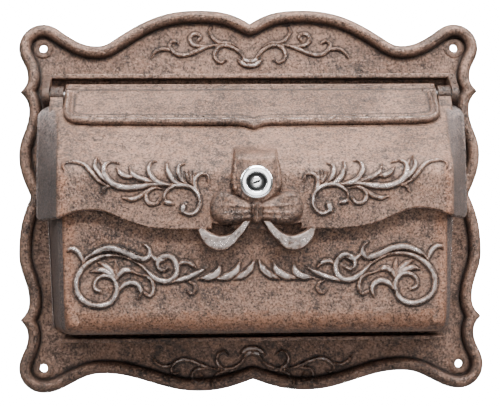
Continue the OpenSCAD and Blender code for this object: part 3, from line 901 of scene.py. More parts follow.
def lid_crease(d):
    """Half-width at the crease between the sloped top or front and a cheek."""
    along = (d - LID_REAR_D) / (FACE_D - LID_REAR_D)
    return CREASE_REAR + (CREASE_FRONT - CREASE_REAR) * along


def lid_section(d, round_r):
    """Of the level line at a profile point: front half, corner, cheek, radius, splay.
    The cheek runs from the crease back to the rear rim, which is rounded at its top."""
    back = np.maximum(d - LID_REAR_D, 1e-3)
    s = np.clip(back / SHOULDER, 0, 1)
    out = (LID_REAR_HALF - lid_crease(d)) * np.sqrt(1 - (1 - s) ** 2)
    splay = np.arctan2(out, back)
    turn = math.pi / 2 - splay
    length = np.hypot(out, back)
    tangent = np.minimum(round_r * np.tan(turn / 2), length * 0.8)
    r = tangent / np.tan(turn / 2)
    return lid_crease(d) - tangent, r * turn, length - tangent, r, splay


LID_ROUND = 3.2


def lid_place(u, v, inset):
    """Point and normal for u across the lid and v down it."""
    a = np.abs(u)
    flat0, bow0, side0, _, _ = lid_section(lid_profile(v)[0], LID_ROUND)
    f = np.clip(a / flat0, 0, 1)
    b = np.clip((a - flat0) / bow0, 0, 1)
    c = np.clip((a - flat0 - bow0) / side0, 0, 1)
    if inset:
        v = THIN_START + v * (LID_LEN - THIN_START) / LID_LEN
    d, z, nd, nz = lid_profile(v)
    flat, _, side, r, splay = lid_section(d, LID_ROUND)
    turn = (math.pi / 2 - splay) * b
    x = f * flat + r * np.sin(turn) + c * side * np.sin(splay)
    depth = d - r * (1 - np.cos(turn)) - c * side * np.cos(splay)
    n_front = np.stack([0 * x, nd, nz], 1)
    n_side = np.stack([np.cos(splay), np.sin(splay), 0 * x], 1)
    n = unit(n_front * (1 - b)[:, None] + n_side * b[:, None])
    sign = np.where(u < 0, -1, 1)
    skin = np.stack([x * sign, depth, z], 1)
    n = n * np.stack([sign, 1 + 0 * x, 1 + 0 * x], 1)
    if inset:
        thin = 1 - 0.3 * (4 * b * (1 - b))
        skin = skin - n * (inset * thin)[:, None]
    return skin, n


def lid_reach(v):
    """Full half-width of the flat domain at v: front, corner and cheek."""
    flat, bow, side = lid_section(lid_profile(v)[0], LID_ROUND)[:3]
    return flat + bow + side


def lid_domain():
    """Outline in (u, v): scalloped lower edge, cheeks, rear edges and the slot."""
    d90 = np.array(FACE_D)
    flat, bow, side = (float(k) for k in lid_section(d90, LID_ROUND)[:3])
    lower = chain([
        (0, LID_LOW, 0, 0), (0.39 * 148, LID_LOW, 0, 0), (0.66 * 148, CHEEK_LOW - 1.5, 22, 22),
        (0.82 * 148, CHEEK_LOW + 6, 0, 0), (flat - 1, CHEEK_LOW + 1, -24, -10),
        (flat + bow, CHEEK_LOW, 0, 0),
    ])
    lower[:, 1] = v_at(lower[:, 1])
    low_v = v_at(CHEEK_LOW)
    reach = flat + bow + side
    rear_turn = np.stack([reach - 7 + 7 * np.sin(np.radians([0, 22, 45, 67])),
                          low_v - 7 + 7 * np.cos(np.radians([0, 22, 45, 67]))], 1)
    v = np.linspace(low_v - 7, 0, 80)
    rear = np.stack([lid_reach(v), v], 1)
    slot = np.vstack([[[SLOT_HALF, 0]], [[SLOT_HALF, SLOT_S - 4]],
                      arc(SLOT_HALF - 4, SLOT_S - 4, 4, 0, 90, 5), [[0, SLOT_S]]])
    right = np.vstack([lower, rear_turn, rear, slot])
    return turning(even(mirrored(right), 1.0, True), True)


def lid_strokes():
    """Right half of the leaf scrolls on the lid's front, as (x, height)."""
    rows = [
        # outer hook running down into the main stem
        stroke([(141, 23.4), (142.6, 27), (139, 29.4), (132, 29.2), (126, 26.6), (121, 21),
                (115, 14.6), (108, 10.8)], 3.8, 1.9, (0.5, 0.5)),
        # upright leaf with two edges
        stroke([(109.6, 13.6), (114.4, 19), (119, 25.6), (118, 33.4)], 3.8, 2.3, (0.4, 0.3)),
        stroke([(109.4, 14), (111, 21), (113.6, 27.6), (117.6, 33)], 3.1, 1.8, (0.4, 0.3)),
        # great leaf: from its curled tip down and along the stem
        stroke([(101, 28), (107, 29.2), (111.6, 27), (112.4, 21.6), (109.6, 16.4), (104.6, 12.4),
                (97, 10.4), (88, 10.6), (78, 12.2), (68, 12.6)], 5.0, 2.5, (0.3, 0.4)),
        stroke([(102.6, 24.4), (100, 20.6), (96, 18.4), (91, 18)], 4.0, 2.2, (0.3, 0.4)),
        stroke([(93.4, 25.6), (91.6, 20.6), (87, 17.4), (80.6, 15.4), (75, 13.6)], 4.2, 2.3, (0.3, 0.4)),
        stroke([(74, 29.6), (77.6, 28.4), (79.4, 23.6), (77.6, 18.6), (73.4, 14.4), (67, 12.2),
                (60, 12.4)], 4.2, 2.4, (0.4, 0.3)),
        stroke([(66, 28.4), (65.4, 22.4), (62.6, 17), (58.6, 13.4), (53, 12.4)], 4.2, 2.4, (0.4, 0.3)),
        stroke([(53, 27.6), (57, 26), (57.4, 20.4), (54.8, 15.4), (51, 12.6)], 3.8, 2.2, (0.4, 0.4)),
        # little fan
        stroke([(51.6, 21.4), (50.6, 17), (48.4, 12.6)], 2.6, 1.8, (0.6, 0.5)),
        stroke([(48.6, 22), (48.4, 17), (47.4, 12.6)], 2.6, 1.8, (0.6, 0.5)),
        stroke([(45.8, 20.6), (46.2, 16.4), (46.4, 12.6)], 2.6, 1.8, (0.6, 0.5)),
        # hook by the lock and the C-scroll below it
        stroke([(35.4, 15.4), (36.6, 19), (41, 19.8), (45, 16.6), (45.4, 11.4), (43.4, 5.4),
                (42.4, -1)], 3.5, 1.9, (0.5, 0.4)),
        stroke([(66.6, -0.6), (68, 3.4), (66, 7.6), (60.6, 11.2), (54, 11.8), (47.4, 9.6),
                (43, 4.4), (41.8, -2), (44.4, -7.8), (50, -9.8), (54.6, -7)], 3.5, 2.2, (0.5, 0.8)),
        stroke([(54.6, -7), (53.6, -3.2)], 5.0, 2.8, (0.9, 0.8)),
        stroke([(67, -0.4), (62.6, -1.6)], 3.8, 2.3, (0.8, 0.7)),
        # oval scroll
        stroke([(69.4, 9), (75, 10), (80.2, 7), (81.4, 2), (78.4, -1.8), (73.6, -1.8),
                (71, 1.6)], 3.3, 1.9, (0.3, 0.7)),
        # leaf below the stem and the small outer hook
        stroke([(81, 8), (86.4, 3.4), (92, 1.6), (98, 2.6)], 3.8, 1.9, (0.4, 0.3)),
        stroke([(107, 12), (111.4, 10), (113.4, 6.4)], 3.1, 1.6, (0.4, 0.4)),
    ]
    return [(np.stack([p[:, 0], down_from(p[:, 1])], 1), w, h) for p, w, h in rows]


V_TABLE = np.linspace(0, LID_LEN, 600)
Z_TABLE = lid_profile(V_TABLE)[1]


def down_from(z):
    """Distance v of a height anywhere on the lid."""
    return np.interp(-np.asarray(z, float), -Z_TABLE, V_TABLE)


PAD_FACE = FACE_D + 3
PAD_HALF = 15.6


def lock_pad(u, v):
    """Height of the lock's raised seat above the lid, with a tapering ridge down each side."""
    d, z, nd, _ = lid_profile(v)
    flat_top = LOCK_Z + 13.2
    d_top, _, nd_top, _ = (float(k) for k in lid_profile(down_from(flat_top)))
    flat = (PAD_FACE - d) / np.maximum(nd, 0.3)
    most = (PAD_FACE - d_top) / nd_top
    fade = np.clip((flat_top + 17 - z) / 17, 0, 1)
    rise = np.where(z > flat_top, most * fade * fade * (3 - 2 * fade), flat)
    across = np.where(z > LOCK_Z, np.abs(u), np.hypot(u, z - LOCK_Z))
    side = np.clip((PAD_HALF + 1.6 - across) / 2.4, 0, 1)
    seat = rise * side * side * (3 - 2 * side)
    lean = PAD_HALF + 0.9 - 0.1 * np.clip(z - LOCK_Z, 0, 40)
    tip = np.clip((40.5 - z) / 22, 0, 1) ** 0.6
    off = np.abs(np.where(z > LOCK_Z, np.abs(u), across) - lean) / (2.7 * np.maximum(tip, 0.05))
    low = np.clip((z - 2) / 7, 0, 1)
    body = rise * (0.55 + 0.45 * fade) + 1.9 * tip
    ridge = np.where(off < 1, body * np.sqrt(np.clip(1 - off**2, 0, 1)), 0) * low
    return np.maximum(seat, ridge), np.clip(ridge - seat, 0, 2) / 2


def round_over(t, r):
    """Loss of height near an edge that is rounded with radius r."""
    s = np.clip(r - t, 0, r)
    return r - np.sqrt(r * r - s * s)


def lid_casting():
    outline = lid_domain()
    away = distance_to([outline])
    strokes = both(lid_strokes())

    def front(p):
        u, v = p[:, 0], p[:, 1]
        base, n = lid_place(u, v, 0)
        t = away(p)
        height, foot = relief(p, strokes)
        pad, ridge = lock_pad(u, v)
        rear = np.clip((lid_reach(v) - np.abs(u)), 0, 9)
        on_cheek = np.abs(u) > lid_section(lid_profile(v)[0], LID_ROUND)[0] + 4
        bead = 0.9 * np.exp(-((rear - 1.8) / 1.1) ** 2) * on_cheek
        lump = 0.22 * ripple(u, v, 34, 11) * np.clip(t / 8, 0, 1) * (pad < 0.05)
        total = np.maximum(height, pad) + bead + lump - round_over(t, 1.3)
        # wear and painted highlight on the relief, edges, cheek bead and ridges
        wear = np.clip(height / 2.1, 0, 1)
        wear = np.maximum(wear, np.clip(1.3 - t / 1.2, 0, 0.8))
        wear = np.maximum(wear, np.clip(bead, 0, 1) * 0.9 + 0.5 * np.clip(ridge, 0, 1))
        # painted shade at the feet of the relief
        dirt = np.exp(-(np.clip(foot, 0, 9) / 1.2) ** 2) * (height < 0.5)
        flat = lid_section(lid_profile(v)[0], LID_ROUND)[0]
        # rust along the crease; painted cool reflection on the cheeks
        corner = np.exp(-((np.abs(u) - flat + 1.5) / 2.4) ** 2) * np.clip((v - 60) / 20, 0, 1)
        cheek_reflection = np.clip((np.abs(u) - flat - 2.5) / 3, 0, 1)
        return base + n * total[:, None], wear, dirt, corner * (1 - cheek_reflection) - cheek_reflection

    def back(p):
        base, n = lid_place(p[:, 0], p[:, 1], WALL)
        base = base + n * round_over(away(p), 1.1)[:, None]
        # underside: painted shade
        return base, 0 * p[:, 0], 0 * p[:, 0] + 0.4

    rows = offset_rows(outline, [0.15, 0.4, 0.75, 1.25, 1.9, 3.0], away)
    edges = []
    v = np.arange(1.0, LID_LEN, 1.1)
    flat, bow = lid_section(lid_profile(v)[0], LID_ROUND)[:2]
    for k in (-0.5, -0.18, 0, 0.2, 0.4, 0.6, 0.8, 1, 1.15, 1.5):
        edges.append(np.stack([flat + k * bow, v], 1))
    for back_off in (4.6, 3.4, 2.6, 1.8):
        edges.append(np.stack([lid_reach(v) - back_off, v], 1))
    edges = np.vstack(edges)
    edges = np.vstack([edges, edges * [-1, 1]])
    bands = band_points(strokes)
    pad = honeycomb(-20, 20, down_from(40), v_at(-6), 0.75)
    fine = honeycomb(-150, 150, down_from(38), v_at(-12), 1.15)
    _, foot = relief(fine, strokes)
    fine = fine[(foot > 0.8) & (foot < 3.2) & (np.abs(fine[:, 0]) > 20)]
    coarse = honeycomb(-240, 240, 0, LID_LEN, 2.6)
    _, foot = relief(coarse, strokes)
    coarse = coarse[(foot > 2.8) & ((np.abs(coarse[:, 0]) > 21) | (coarse[:, 1] < down_from(41)))]
    inner = thin_out([pad, bands, rows, edges, fine, coarse], 0.28)
    inner = inner[inside(inner, outline)]
    t = away(inner)
    inner = inner[t > 0.12]
    inner_back = honeycomb(-240, 240, 0, LID_LEN, 6)
    inner_back = np.vstack([offset_rows(outline, [0.5, 1.2], away), edges[::3], inner_back])
    inner_back = inner_back[inside(inner_back, outline)]
    inner_back = thin_out([inner_back[away(inner_back) > 0.45]], 0.8)
    piece = Piece()
    sheet(piece, [outline], front, back, inner, inner_back)
    return piece.build("lid_iron", 0.03)


def puffed(name, outline, base, rise, ridges, floor, pitch=0.8, round_by=4.0):
    """A pillowed ribbon: front skin swells with distance from its outline, flat back."""
    outline = turning(even(outline, 0.8, True), True)
    away = distance_to([outline])

    def front(p):
        t = np.clip(away(p) / round_by, 0, 1)
        swell = rise * np.sqrt(1 - (1 - t) ** 2)
        fold = ridges(p) * np.clip(t * 1.5, 0, 1)
        # wear and painted highlight on the folds; painted shade round the ribbon's edge
        wear = np.clip(0.35 + 0.4 * fold, 0, 1) * t ** 0.5
        return np.stack([p[:, 0], base + swell + fold, p[:, 1]], 1), wear, 0.5 * (1 - t)

    def back(p):
        return np.stack([p[:, 0], 0 * p[:, 0] + floor, p[:, 1]], 1), 0 * p[:, 0], 0 * p[:, 0]

    rows = offset_rows(outline, [0.12, 0.35, 0.7, 1.2, 1.9], away)
    grid = honeycomb(outline[:, 0].min(), outline[:, 0].max(),
                     outline[:, 1].min(), outline[:, 1].max(), pitch)
    grid = grid[inside(grid, outline)]
    inner = thin_out([rows, grid[away(grid) > 2.3]], 0.3)
    piece = Piece()
    sheet(piece, [outline], front, back, inner, grid[away(grid) > 3][::7])
    return piece.build(name)


def bow_parts():
    """Ribbon bow below the lock: two loops, two tails and the knot."""
    parts = []
    loop = chain([
        (1.5, -3.5, 60, 60), (14, 3.4, 33, 33), (24, 7.2, 0, 0), (33, 1.4, -62, -62),
        (34.6, -6, -92, -92), (29, -15.6, -150, -150), (19, -18, 180, 180),
        (8, -16.2, 170, 170), (1.5, -14.5, 160, 0),
    ])
    tail = chain([
        (2.5, -14, -60, -52), (12, -27.6, -48, -42), (24, -37.2, -12, -4),
        (33, -36.4, 25, 30), (41.6, -28, 62, 66), (44, -20.6, 80, 135),
        (39.6, -19, 200, 215), (34, -22.8, 205, 200), (26.4, -25.4, 180, 176),
        (19, -23.2, 148, 142), (12.6, -17.4, 132, 120), (10, -14.4, 120, 0),
    ])
    knot = chain([
        (0, -0.8, 0, 0), (4.2, -2.6, -50, -62), (4.6, -9, -92, -92), (3.6, -14.8, -110, -120),
        (0, -17.4, 180, 180),
    ])

    def loop_folds(p):
        x, z = np.abs(p[:, 0]), p[:, 1]
        fan = np.clip(1 - x / 30, 0, 1)
        folds = sum(np.exp(-((z - c - s * x) / 1.15) ** 2)
                    for c, s in ((-5.2, 0.07), (-8.4, -0.05), (-11.8, -0.12)))
        crest = np.exp(-((z - 3.6 + 0.0075 * (x - 24) ** 2) / 1.3) ** 2)
        return 1.0 * fan * folds - 0.5 * fan + 0.8 * crest * (x > 8)

    def tail_folds(p):
        """The ribbon's face is outside its crest, and its upper side falls back inside it."""
        x, z = np.abs(p[:, 0]), p[:, 1]
        r = np.hypot((x - 28) / 1.12, z + 14.6)
        crest = 12.6 + 0.055 * np.clip(28 - x, -14, 18)
        inner = np.clip((crest - r) / 5.2, 0, 1)
        outer = np.clip((r - crest) / 9, 0, 1)
        return 2.4 - 4.6 * inner**1.3 - 1.2 * outer

    def knot_folds(p):
        return 0.7 * np.cos(p[:, 0] * 1.9) - 0.4 * np.exp(-((np.abs(p[:, 0]) - 1.7) / 0.5) ** 2)

    for side in (-1, 1):
        parts.append(puffed("tail", tail * [side, 1], 91.4, 2.2, tail_folds, 87.4, 0.7, 1.8))
        parts.append(puffed("loop", loop * [side, 1], 90.2, 6.2, loop_folds, 88.2, 0.7, 6.5))
    parts.append(puffed("knot", mirrored(knot), 92.4, 4.2, knot_folds, 88.4, 0.6, 2.6))
    return parts


def lid():
    casting = lid_casting()
    parts = bow_parts()
    arm = [(LID_REAR_D + 3.4, HINGE_Z - 15.0), (LID_REAR_D - 0.6, HINGE_Z - 17.4),
           (HINGE_D - 1.5, HINGE_Z - 6.6), (HINGE_D + 1, HINGE_Z + 6.4),
           (HINGE_D + 5.5, HINGE_Z - 0.6), (LID_REAR_D + 2.6, HINGE_Z - 10.6)]
    for side in (-1, 1):
        x0, x1 = sorted((side * 147.0, side * 157.5))
        # arms and knuckles darkened with painted shade
        parts.append(prism(arm, in_profile, x0, x1, 0.5, 0.3, 0.7))
        parts.append(rod(x0, x1, 7.0, 0.8))
    eye = np.vstack([bend((17.4, -17.6), -2, (33, -16), 12, 12),
                     bend((33, -16), -60, (26.5, -24.6), 180, 10),
                     bend((26.5, -24.6), 180, (17.4, -17.6), 128, 10)])
    eyes = [prism(eye * [side, 1], seen_from_front, 80, 91.2) for side in (-1, 1)]
    combine(casting, eyes, "DIFFERENCE")
    combine(casting, parts, "UNION")
    cuts = [plain_rod(s * 140, s * 166, PIN_R + PIN_GAP) for s in (-1, 1)]
    cuts.append(turned([(40, 9.2), (99, 9.2)], on_lock, 72))
    cuts.append(turned([(40, 13.2), (FACE_D - WALL, 13.2)], on_lock, 72))
    combine(casting, cuts, "DIFFERENCE")
    return smooth(casting)


# ---- flap ------------------------------------------------------------------------

def slot_flap():
    half, gap, thick, tail, length, point = 146.0, 0.6, 4.0, 9.0, 40.0, 5.5
    low = -length
    right = np.vstack([
        [[half, tail]], arc(half - 14, low + 16, 14, 0, -80, 12),
        bend((half - 22, low + 1), 180, (18, low), 180),
        bend((18, low), 180, (0, low - point), 215), [[0, low - point]],
    ])
    left = right[::-1][1:] * [-1, 1]
    outline = turning(even(np.vstack([right, left]), 1.0, True), True)
    away = distance_to([outline])

    def raise_to(p, n):
        s = -p[:, 1]
        d = HINGE_D + s * math.cos(SLOPE) + n * math.sin(SLOPE)
        z = HINGE_Z - s * math.sin(SLOPE) + n * math.cos(SLOPE)
        return np.stack([p[:, 0], d, z], 1)

    def front(p):
        t = away(p)
        lower = p[:, 1] < tail - 3
        bead = np.exp(-((t - 2.4) / 1.25) ** 2) + 0.75 * np.exp(-((t - 6.2) / 0.95) ** 2)
        n = gap + thick + (1.15 * bead - 0.15 * np.exp(-((t - 4.5) / 0.8) ** 2)) * lower
        n = n - round_over(t, 1.4) + 0.22 * ripple(p[:, 0], p[:, 1], 40, 21) * np.clip(t / 9, 0, 1)
        n = n - 0.4 * np.clip(1 - np.abs(t - 8.4) / 1.6, 0, 1) * lower
        # bead: wear and painted highlight; grooves: painted shade
        wear = np.clip(bead, 0, 1) * 0.9 * lower
        dirt = np.exp(-((t - 8.2) / 1.0) ** 2) * lower + 0.6 * np.exp(-((t - 4.4) / 0.7) ** 2)
        return raise_to(p, n), wear, np.clip(dirt, 0, 1)

    def back(p):
        n = gap + round_over(away(p), 1.0)
        # underside: painted shade
        return raise_to(p, n), 0 * n, 0 * n + 0.3

    offsets = [0.2, 0.55, 1.0, 1.5, 2.0, 2.5, 3.1, 3.7, 4.4, 5.1, 5.7, 6.3, 6.9, 7.5, 8.2, 8.9, 10]
    rows = offset_rows(outline, offsets, away)
    grid = honeycomb(-half, half, low - point, tail, 2.8)
    grid = grid[inside(grid, outline)]
    grid = grid[away(grid) > 11]
    inner = thin_out([rows, grid], 0.3)
    under = honeycomb(-half, half, low - point, tail, 7)
    under = under[inside(under, outline)]
    under = np.vstack([offset_rows(outline, [0.5, 1.1], away), under[away(under) > 3]])
    piece = Piece()
    sheet(piece, [outline], front, back, inner, under)
    flap = piece.build("flap_iron")
    bosses = [rod(*sorted((s * 135, s * 146)), 5.8, 0.7) for s in (-1, 1)]
    combine(flap, bosses, "UNION")
    cuts = [plain_rod(*sorted((s * 128, s * 150)), PIN_R + PIN_GAP) for s in (-1, 1)]
    combine(flap, cuts, "DIFFERENCE")
    return smooth(flap)


# ---- lock ------------------------------------------------------------------------

def on_lock(s, a, b):
    """Place round the lock's axis: depth, then two directions across it."""
    return a, s, LOCK_Z + b


def revolved(profile, n=112):
    """Ring of revolution round the lock's axis, from a closed loop of (depth, radius, painted shade, shown
    as black).
    """
    piece = Piece()
    steps = lathe(piece, profile, on_lock, n, 0.0, 0.0)
    for one, two in zip(steps, steps[1:] + steps[:1]):
        piece.wall(one, two)
    return piece.build("part")


def lock_housing():
    """Chrome bezel whose recess is painted black as its shade, on a plain barrel."""
    seat = PAD_FACE
    crown = arc(0, 0, 1, 0, 90, 8)
    rounded = [(seat + 0.9 + 2.1 * z, 9.7 + 2.8 * x, 0) for x, z in crown]
    lip = [(seat + 3 - 0.9 * (1 - z), 8.5 - 1.3 * x, 0) for x, z in arc(0, 0, 1, 90, 0, 6)]
    back = BARREL_BACK
    profile = [(back, 4.06, 0), (back, 8.6, 0), (back + 0.4, 9.0, 0), (seat, 9.0, 0),
               (seat, 12.2, 0), (seat + 0.3, 12.5, 0)] + rounded + lip
    # the recess wall and floor are painted black: painted shade of the recess
    profile += [(seat + 1.9, 7.05, 0), (seat + 1.75, 7.0, 1), (seat + 0.7, 7.0, 1),
                (seat + 0.6, 6.9, 1), (seat + 0.6, 4.2, 1), (seat + 0.5, 4.06, 1)]
    return smooth(revolved(profile), 50)


def lock_plug():
    """Turned plug with a domed bright face, a key slot, a square and a threaded stud. The face's outer rim
    and the slot are painted black as shade.
    """
    face = PAD_FACE + 0.7
    # the outer rim of the face is painted black as the shade of the gap round the plug
    front = [(-0.05, 4.0, 0), (-0.05, 5.0, 1), (0.1, 5.2, 1), (0.6, 5.2, 1), (0.9, 5.05, 1),
             (1.0, 4.1, 1), (0.95, 3.9, 1), (0.95, 3.8, 0), (1.12, 3.5, 0), (1.24, 3.0, 0),
             (1.3, 2.1, 0), (1.3, 1.0, 0)]
    profile = [(PLUG_SHOULDER + 0.01, 4.0, 0)] + [(face + d, r, recess_shade) for d, r, recess_shade in front]
    plug = turned(profile, on_lock, 96, 0.0)
    square = 2.5
    shank = prism(block(-square, square, LOCK_Z - square, LOCK_Z + square), seen_from_front,
                  PLUG_SHOULDER - 2, PLUG_SHOULDER + 1, 0.15)
    turns = np.arange(0, 7.0, 0.4)
    thread = [(PLUG_END + t, 2.5 - 0.22 * (i % 2)) for i, t in enumerate(turns)]
    thread = [(PLUG_END, 2.0)] + thread[1:] + [(PLUG_SHOULDER + 1, 2.4)]
    combine(plug, [shank, turned(thread, on_lock, 48)], "UNION")
    c, q = math.cos(KEY_SLANT), math.sin(KEY_SLANT)
    half, thin = 2.7, 0.8
    slot = [(x * c - z * q, LOCK_Z + x * q + z * c) for x, z in block(-half, half, -thin, thin)]
    # the slot's walls are painted black: painted shade in the key slot
    cutter = prism(slot, seen_from_front, face - 4.5, face + 4, wear=0.0, dirt=1.0)
    combine(plug, [cutter], "DIFFERENCE")
    return smooth(plug, 40)


# ---- materials -------------------------------------------------------------------

class Look:
    """Short way to write a node material."""

    def __init__(self, name):
        self.mat = bpy.data.materials.new(name)
        self.mat.use_nodes = True
        self.tree = self.mat.node_tree
        self.shader = self.tree.nodes["Principled BSDF"]
        self.where = self.tree.nodes.new("ShaderNodeTexCoord").outputs["Object"]

    def node(self, kind, **values):
        n = self.tree.nodes.new("ShaderNode" + kind)
        for key, value in values.items():
            if hasattr(n, key):
                setattr(n, key, value)
            else:
                n.inputs[key.replace("_", " ")].default_value = value
        return n

    def link(self, a, b):
        self.tree.links.new(a, b)

    def noise(self, scale, detail=6, roughness=0.6, distortion=0.0):
        n = self.node("TexNoise", Scale=scale, Detail=detail, Roughness=roughness,
                      Distortion=distortion)
        self.link(self.where, n.inputs["Vector"])
        return n.outputs["Fac"]

    def attribute(self, name):
        return self.node("Attribute", attribute_name=name).outputs["Fac"]

    def ramp(self, source, *stops):
        n = self.node("ValToRGB")
        e = n.color_ramp.elements
        while len(e) < len(stops):
            e.new(0.5)
        for slot, (at, colour) in zip(e, stops):
            slot.position = at
            slot.color = (*colour, 1) if len(colour) == 3 else colour
        self.link(source, n.inputs["Fac"])
        return n.outputs["Color"]

    def scale(self, source, low, high, to_low=0.0, to_high=1.0):
        n = self.node("MapRange")
        for i, value in enumerate((low, high, to_low, to_high)):
            n.inputs[i + 1].default_value = value
        self.link(source, n.inputs[0])
        return n.outputs[0]

    def maths(self, op, a, b):
        n = self.node("Math", operation=op)
        for i, x in enumerate((a, b)):
            if isinstance(x, (int, float)):
                n.inputs[i].default_value = x
            else:
                self.link(x, n.inputs[i])
        return n.outputs[0]

    def mix(self, factor, a, b):
        n = self.node("Mix", data_type="RGBA")
        for slot, x in ((0, factor), (6, a), (7, b)):
            if isinstance(x, (int, float)):
                n.inputs[slot].default_value = x
            elif isinstance(x, tuple):
                n.inputs[slot].default_value = (*x, 1)
            else:
                self.link(x, n.inputs[slot])
        return n.outputs[2]

    def bump(self, *layers):
        """Layers of (height, strength, distance in metres), from the broadest."""
        last = None
        for height, strength, distance in layers:
            n = self.node("Bump")
            n.inputs["Strength"].default_value = strength
            n.inputs["Distance"].default_value = distance
            self.link(height, n.inputs["Height"])
            if last:
                self.link(last, n.inputs["Normal"])
            last = n.outputs["Normal"]
        self.link(last, self.shader.inputs["Normal"])

    def finish(self, colour, roughness, metallic=None):
        self.link(colour, self.shader.inputs["Base Color"])
        self.link(roughness, self.shader.inputs["Roughness"])
        if metallic is not None:
            if isinstance(metallic, (int, float)):
                self.shader.inputs["Metallic"].default_value = metallic
            else:
                self.link(metallic, self.shader.inputs["Metallic"])
        return self.mat


IRON_DARK = (0.045, 0.028, 0.021)
IRON_MID = (0.2, 0.118, 0.085)
IRON_RUST = (0.27, 0.135, 0.08)
RIM_RUST = (0.27, 0.115, 0.06)
# cool grey painted on the cheeks as their reflection of the dark surroundings
CHEEK_REFLECTION_GREY = (0.11, 0.105, 0.107)
# pale bare iron of rubbed ridges and edges, also used as a painted highlight
BARE_IRON_AND_HIGHLIGHT = (0.55, 0.5, 0.48)
# black painted as the shade in the lock's recess and key slot
SHADE_BLACK = (0.006, 0.006, 0.006)


def cast_iron(name, rust_amount):
    """Cast iron, oiled and rust-browned: brown patina, sand grain, bare rubbed ridges that also carry a
    painted highlight, painted shade in hollows and insides, and a painted cool reflection on the cheeks.
    """
    k = Look(name)
    dark, mid = IRON_DARK, IRON_MID
    broad = k.noise(17, 5, 0.6, 0.4)
    mottle = k.noise(150, 7, 0.75, 0.2)
    speck = k.noise(620, 4, 0.8)
    base = k.ramp(broad, (0.32, dark), (0.62, mid))
    blotch = k.scale(mottle, 0.47, 0.6)
    base = k.mix(k.maths("MULTIPLY", blotch, rust_amount), base, IRON_RUST)
    base = k.mix(k.scale(mottle, 0.49, 0.36, 0, 0.7), base, tuple(0.3 * c for c in dark))
    rust_and_reflection = k.attribute("rust_and_reflection")
    rim = k.maths("MULTIPLY", k.scale(rust_and_reflection, 0, 1), k.scale(mottle, 0.36, 0.56, 0.15, 0.8))
    base = k.mix(rim, base, RIM_RUST)
    # painted reflection: cool grey where the cheeks face sideways
    cheek_reflection = k.maths("MULTIPLY", k.scale(rust_and_reflection, 0, -1, 0, 0.85), k.scale(mottle, 0.38, 0.6, 0.55, 1))
    base = k.mix(cheek_reflection, base, CHEEK_REFLECTION_GREY)
    base = k.mix(k.scale(speck, 0.51, 0.61, 0, 0.9), base, tuple(0.2 * c for c in dark))
    base = k.mix(k.scale(speck, 0.47, 0.36, 0, 0.55), base, tuple(min(1, 2.2 * c) for c in mid))
    # painted shade: hollows, feet of the relief, creases, insides and hinge parts darkened
    hollow_shade = k.attribute("dirt")
    base = k.mix(k.maths("MULTIPLY", hollow_shade, 0.9), base, tuple(0.12 * c for c in dark))
    # rubbed bare iron on ridges and edges, which also serves as a painted highlight
    wear = k.attribute("wear")
    rub_and_highlight = k.maths("ADD", wear, k.maths("MULTIPLY", mottle, 1.4))
    rub_and_highlight = k.scale(rub_and_highlight, 1.5, 1.85, 0, 0.7)
    base = k.mix(rub_and_highlight, base, BARE_IRON_AND_HIGHLIGHT)
    rough = k.scale(broad, 0.3, 0.7, 0.32, 0.44)
    rough = k.maths("ADD", rough, k.scale(mottle, 0.3, 0.7, -0.1, 0.1))
    rough = k.maths("SUBTRACT", rough, k.maths("MULTIPLY", wear, 0.2))
    metal = k.maths("ADD", 0.4, k.maths("MULTIPLY", rub_and_highlight, 0.55))
    k.bump((broad, 0.4, 0.0014), (mottle, 1.0, 0.0014), (speck, 1.0, 0.0006))
    k.shader.inputs["Specular IOR Level"].default_value = 0.5
    return k.finish(base, rough, metal)


def bare_metal(name, colour, rough, scratch=900, tint=0.25):
    """Bare or plated metal. Where a piece carries painted shade, it is painted black: the shade of the
    lock's recess and key slot.
    """
    k = Look(name)
    fine = k.noise(scratch, 4, 0.6)
    broad = k.noise(60, 4, 0.6)
    base = k.mix(k.scale(broad, 0.35, 0.7, 0, tint), colour, tuple(0.45 * c for c in colour))
    recess_shade = k.attribute("dirt")
    base = k.mix(recess_shade, base, SHADE_BLACK)
    r = k.scale(fine, 0.3, 0.7, rough * 0.8, rough * 1.3)
    r = k.maths("ADD", r, k.maths("MULTIPLY", recess_shade, 0.2))
    k.bump((broad, 0.12, 0.0002), (fine, 0.15, 0.00005))
    return k.finish(base, r, k.maths("SUBTRACT", 1.0, recess_shade))


def softened(node, width, segments=2):
    """Finely rounded edges on a carried-over metal part, by a modifier only."""
    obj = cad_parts[node]
    m = obj.modifiers.new("edge", "BEVEL")
    m.width = width * MM
    m.segments = segments
    m.limit_method = "ANGLE"
    m.angle_limit = math.radians(30)
    return obj


def dress(obj, material):
    """Gives a piece made here its material, in place of the empty slot that a boolean leaves."""
    obj.data.materials.clear()
    obj.data.materials.append(material)


def stand_for(piece, name, node, body, material):
    """Names a detailed piece, gives it its material and puts it in its CAD node's place."""
    piece.name = name
    dress(piece, material)
    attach(piece, body)
    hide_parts(node)


castings = [
    (wall_plate, "wall_plate", "root", "plate_iron", 0.35),
    (box_shell, "box_shell", "root", "box_iron", 0.5),
    (lid, "lid", "lid", "lid_iron", 0.5),
    (slot_flap, "slot_flap", "flap", "flap_iron", 0.3),
]
for make, node, body, slot, rust_amount in castings:
    iron = cast_iron(slot + "_look", rust_amount)
    stand_for(make(), node + "_casting", node, body, iron)

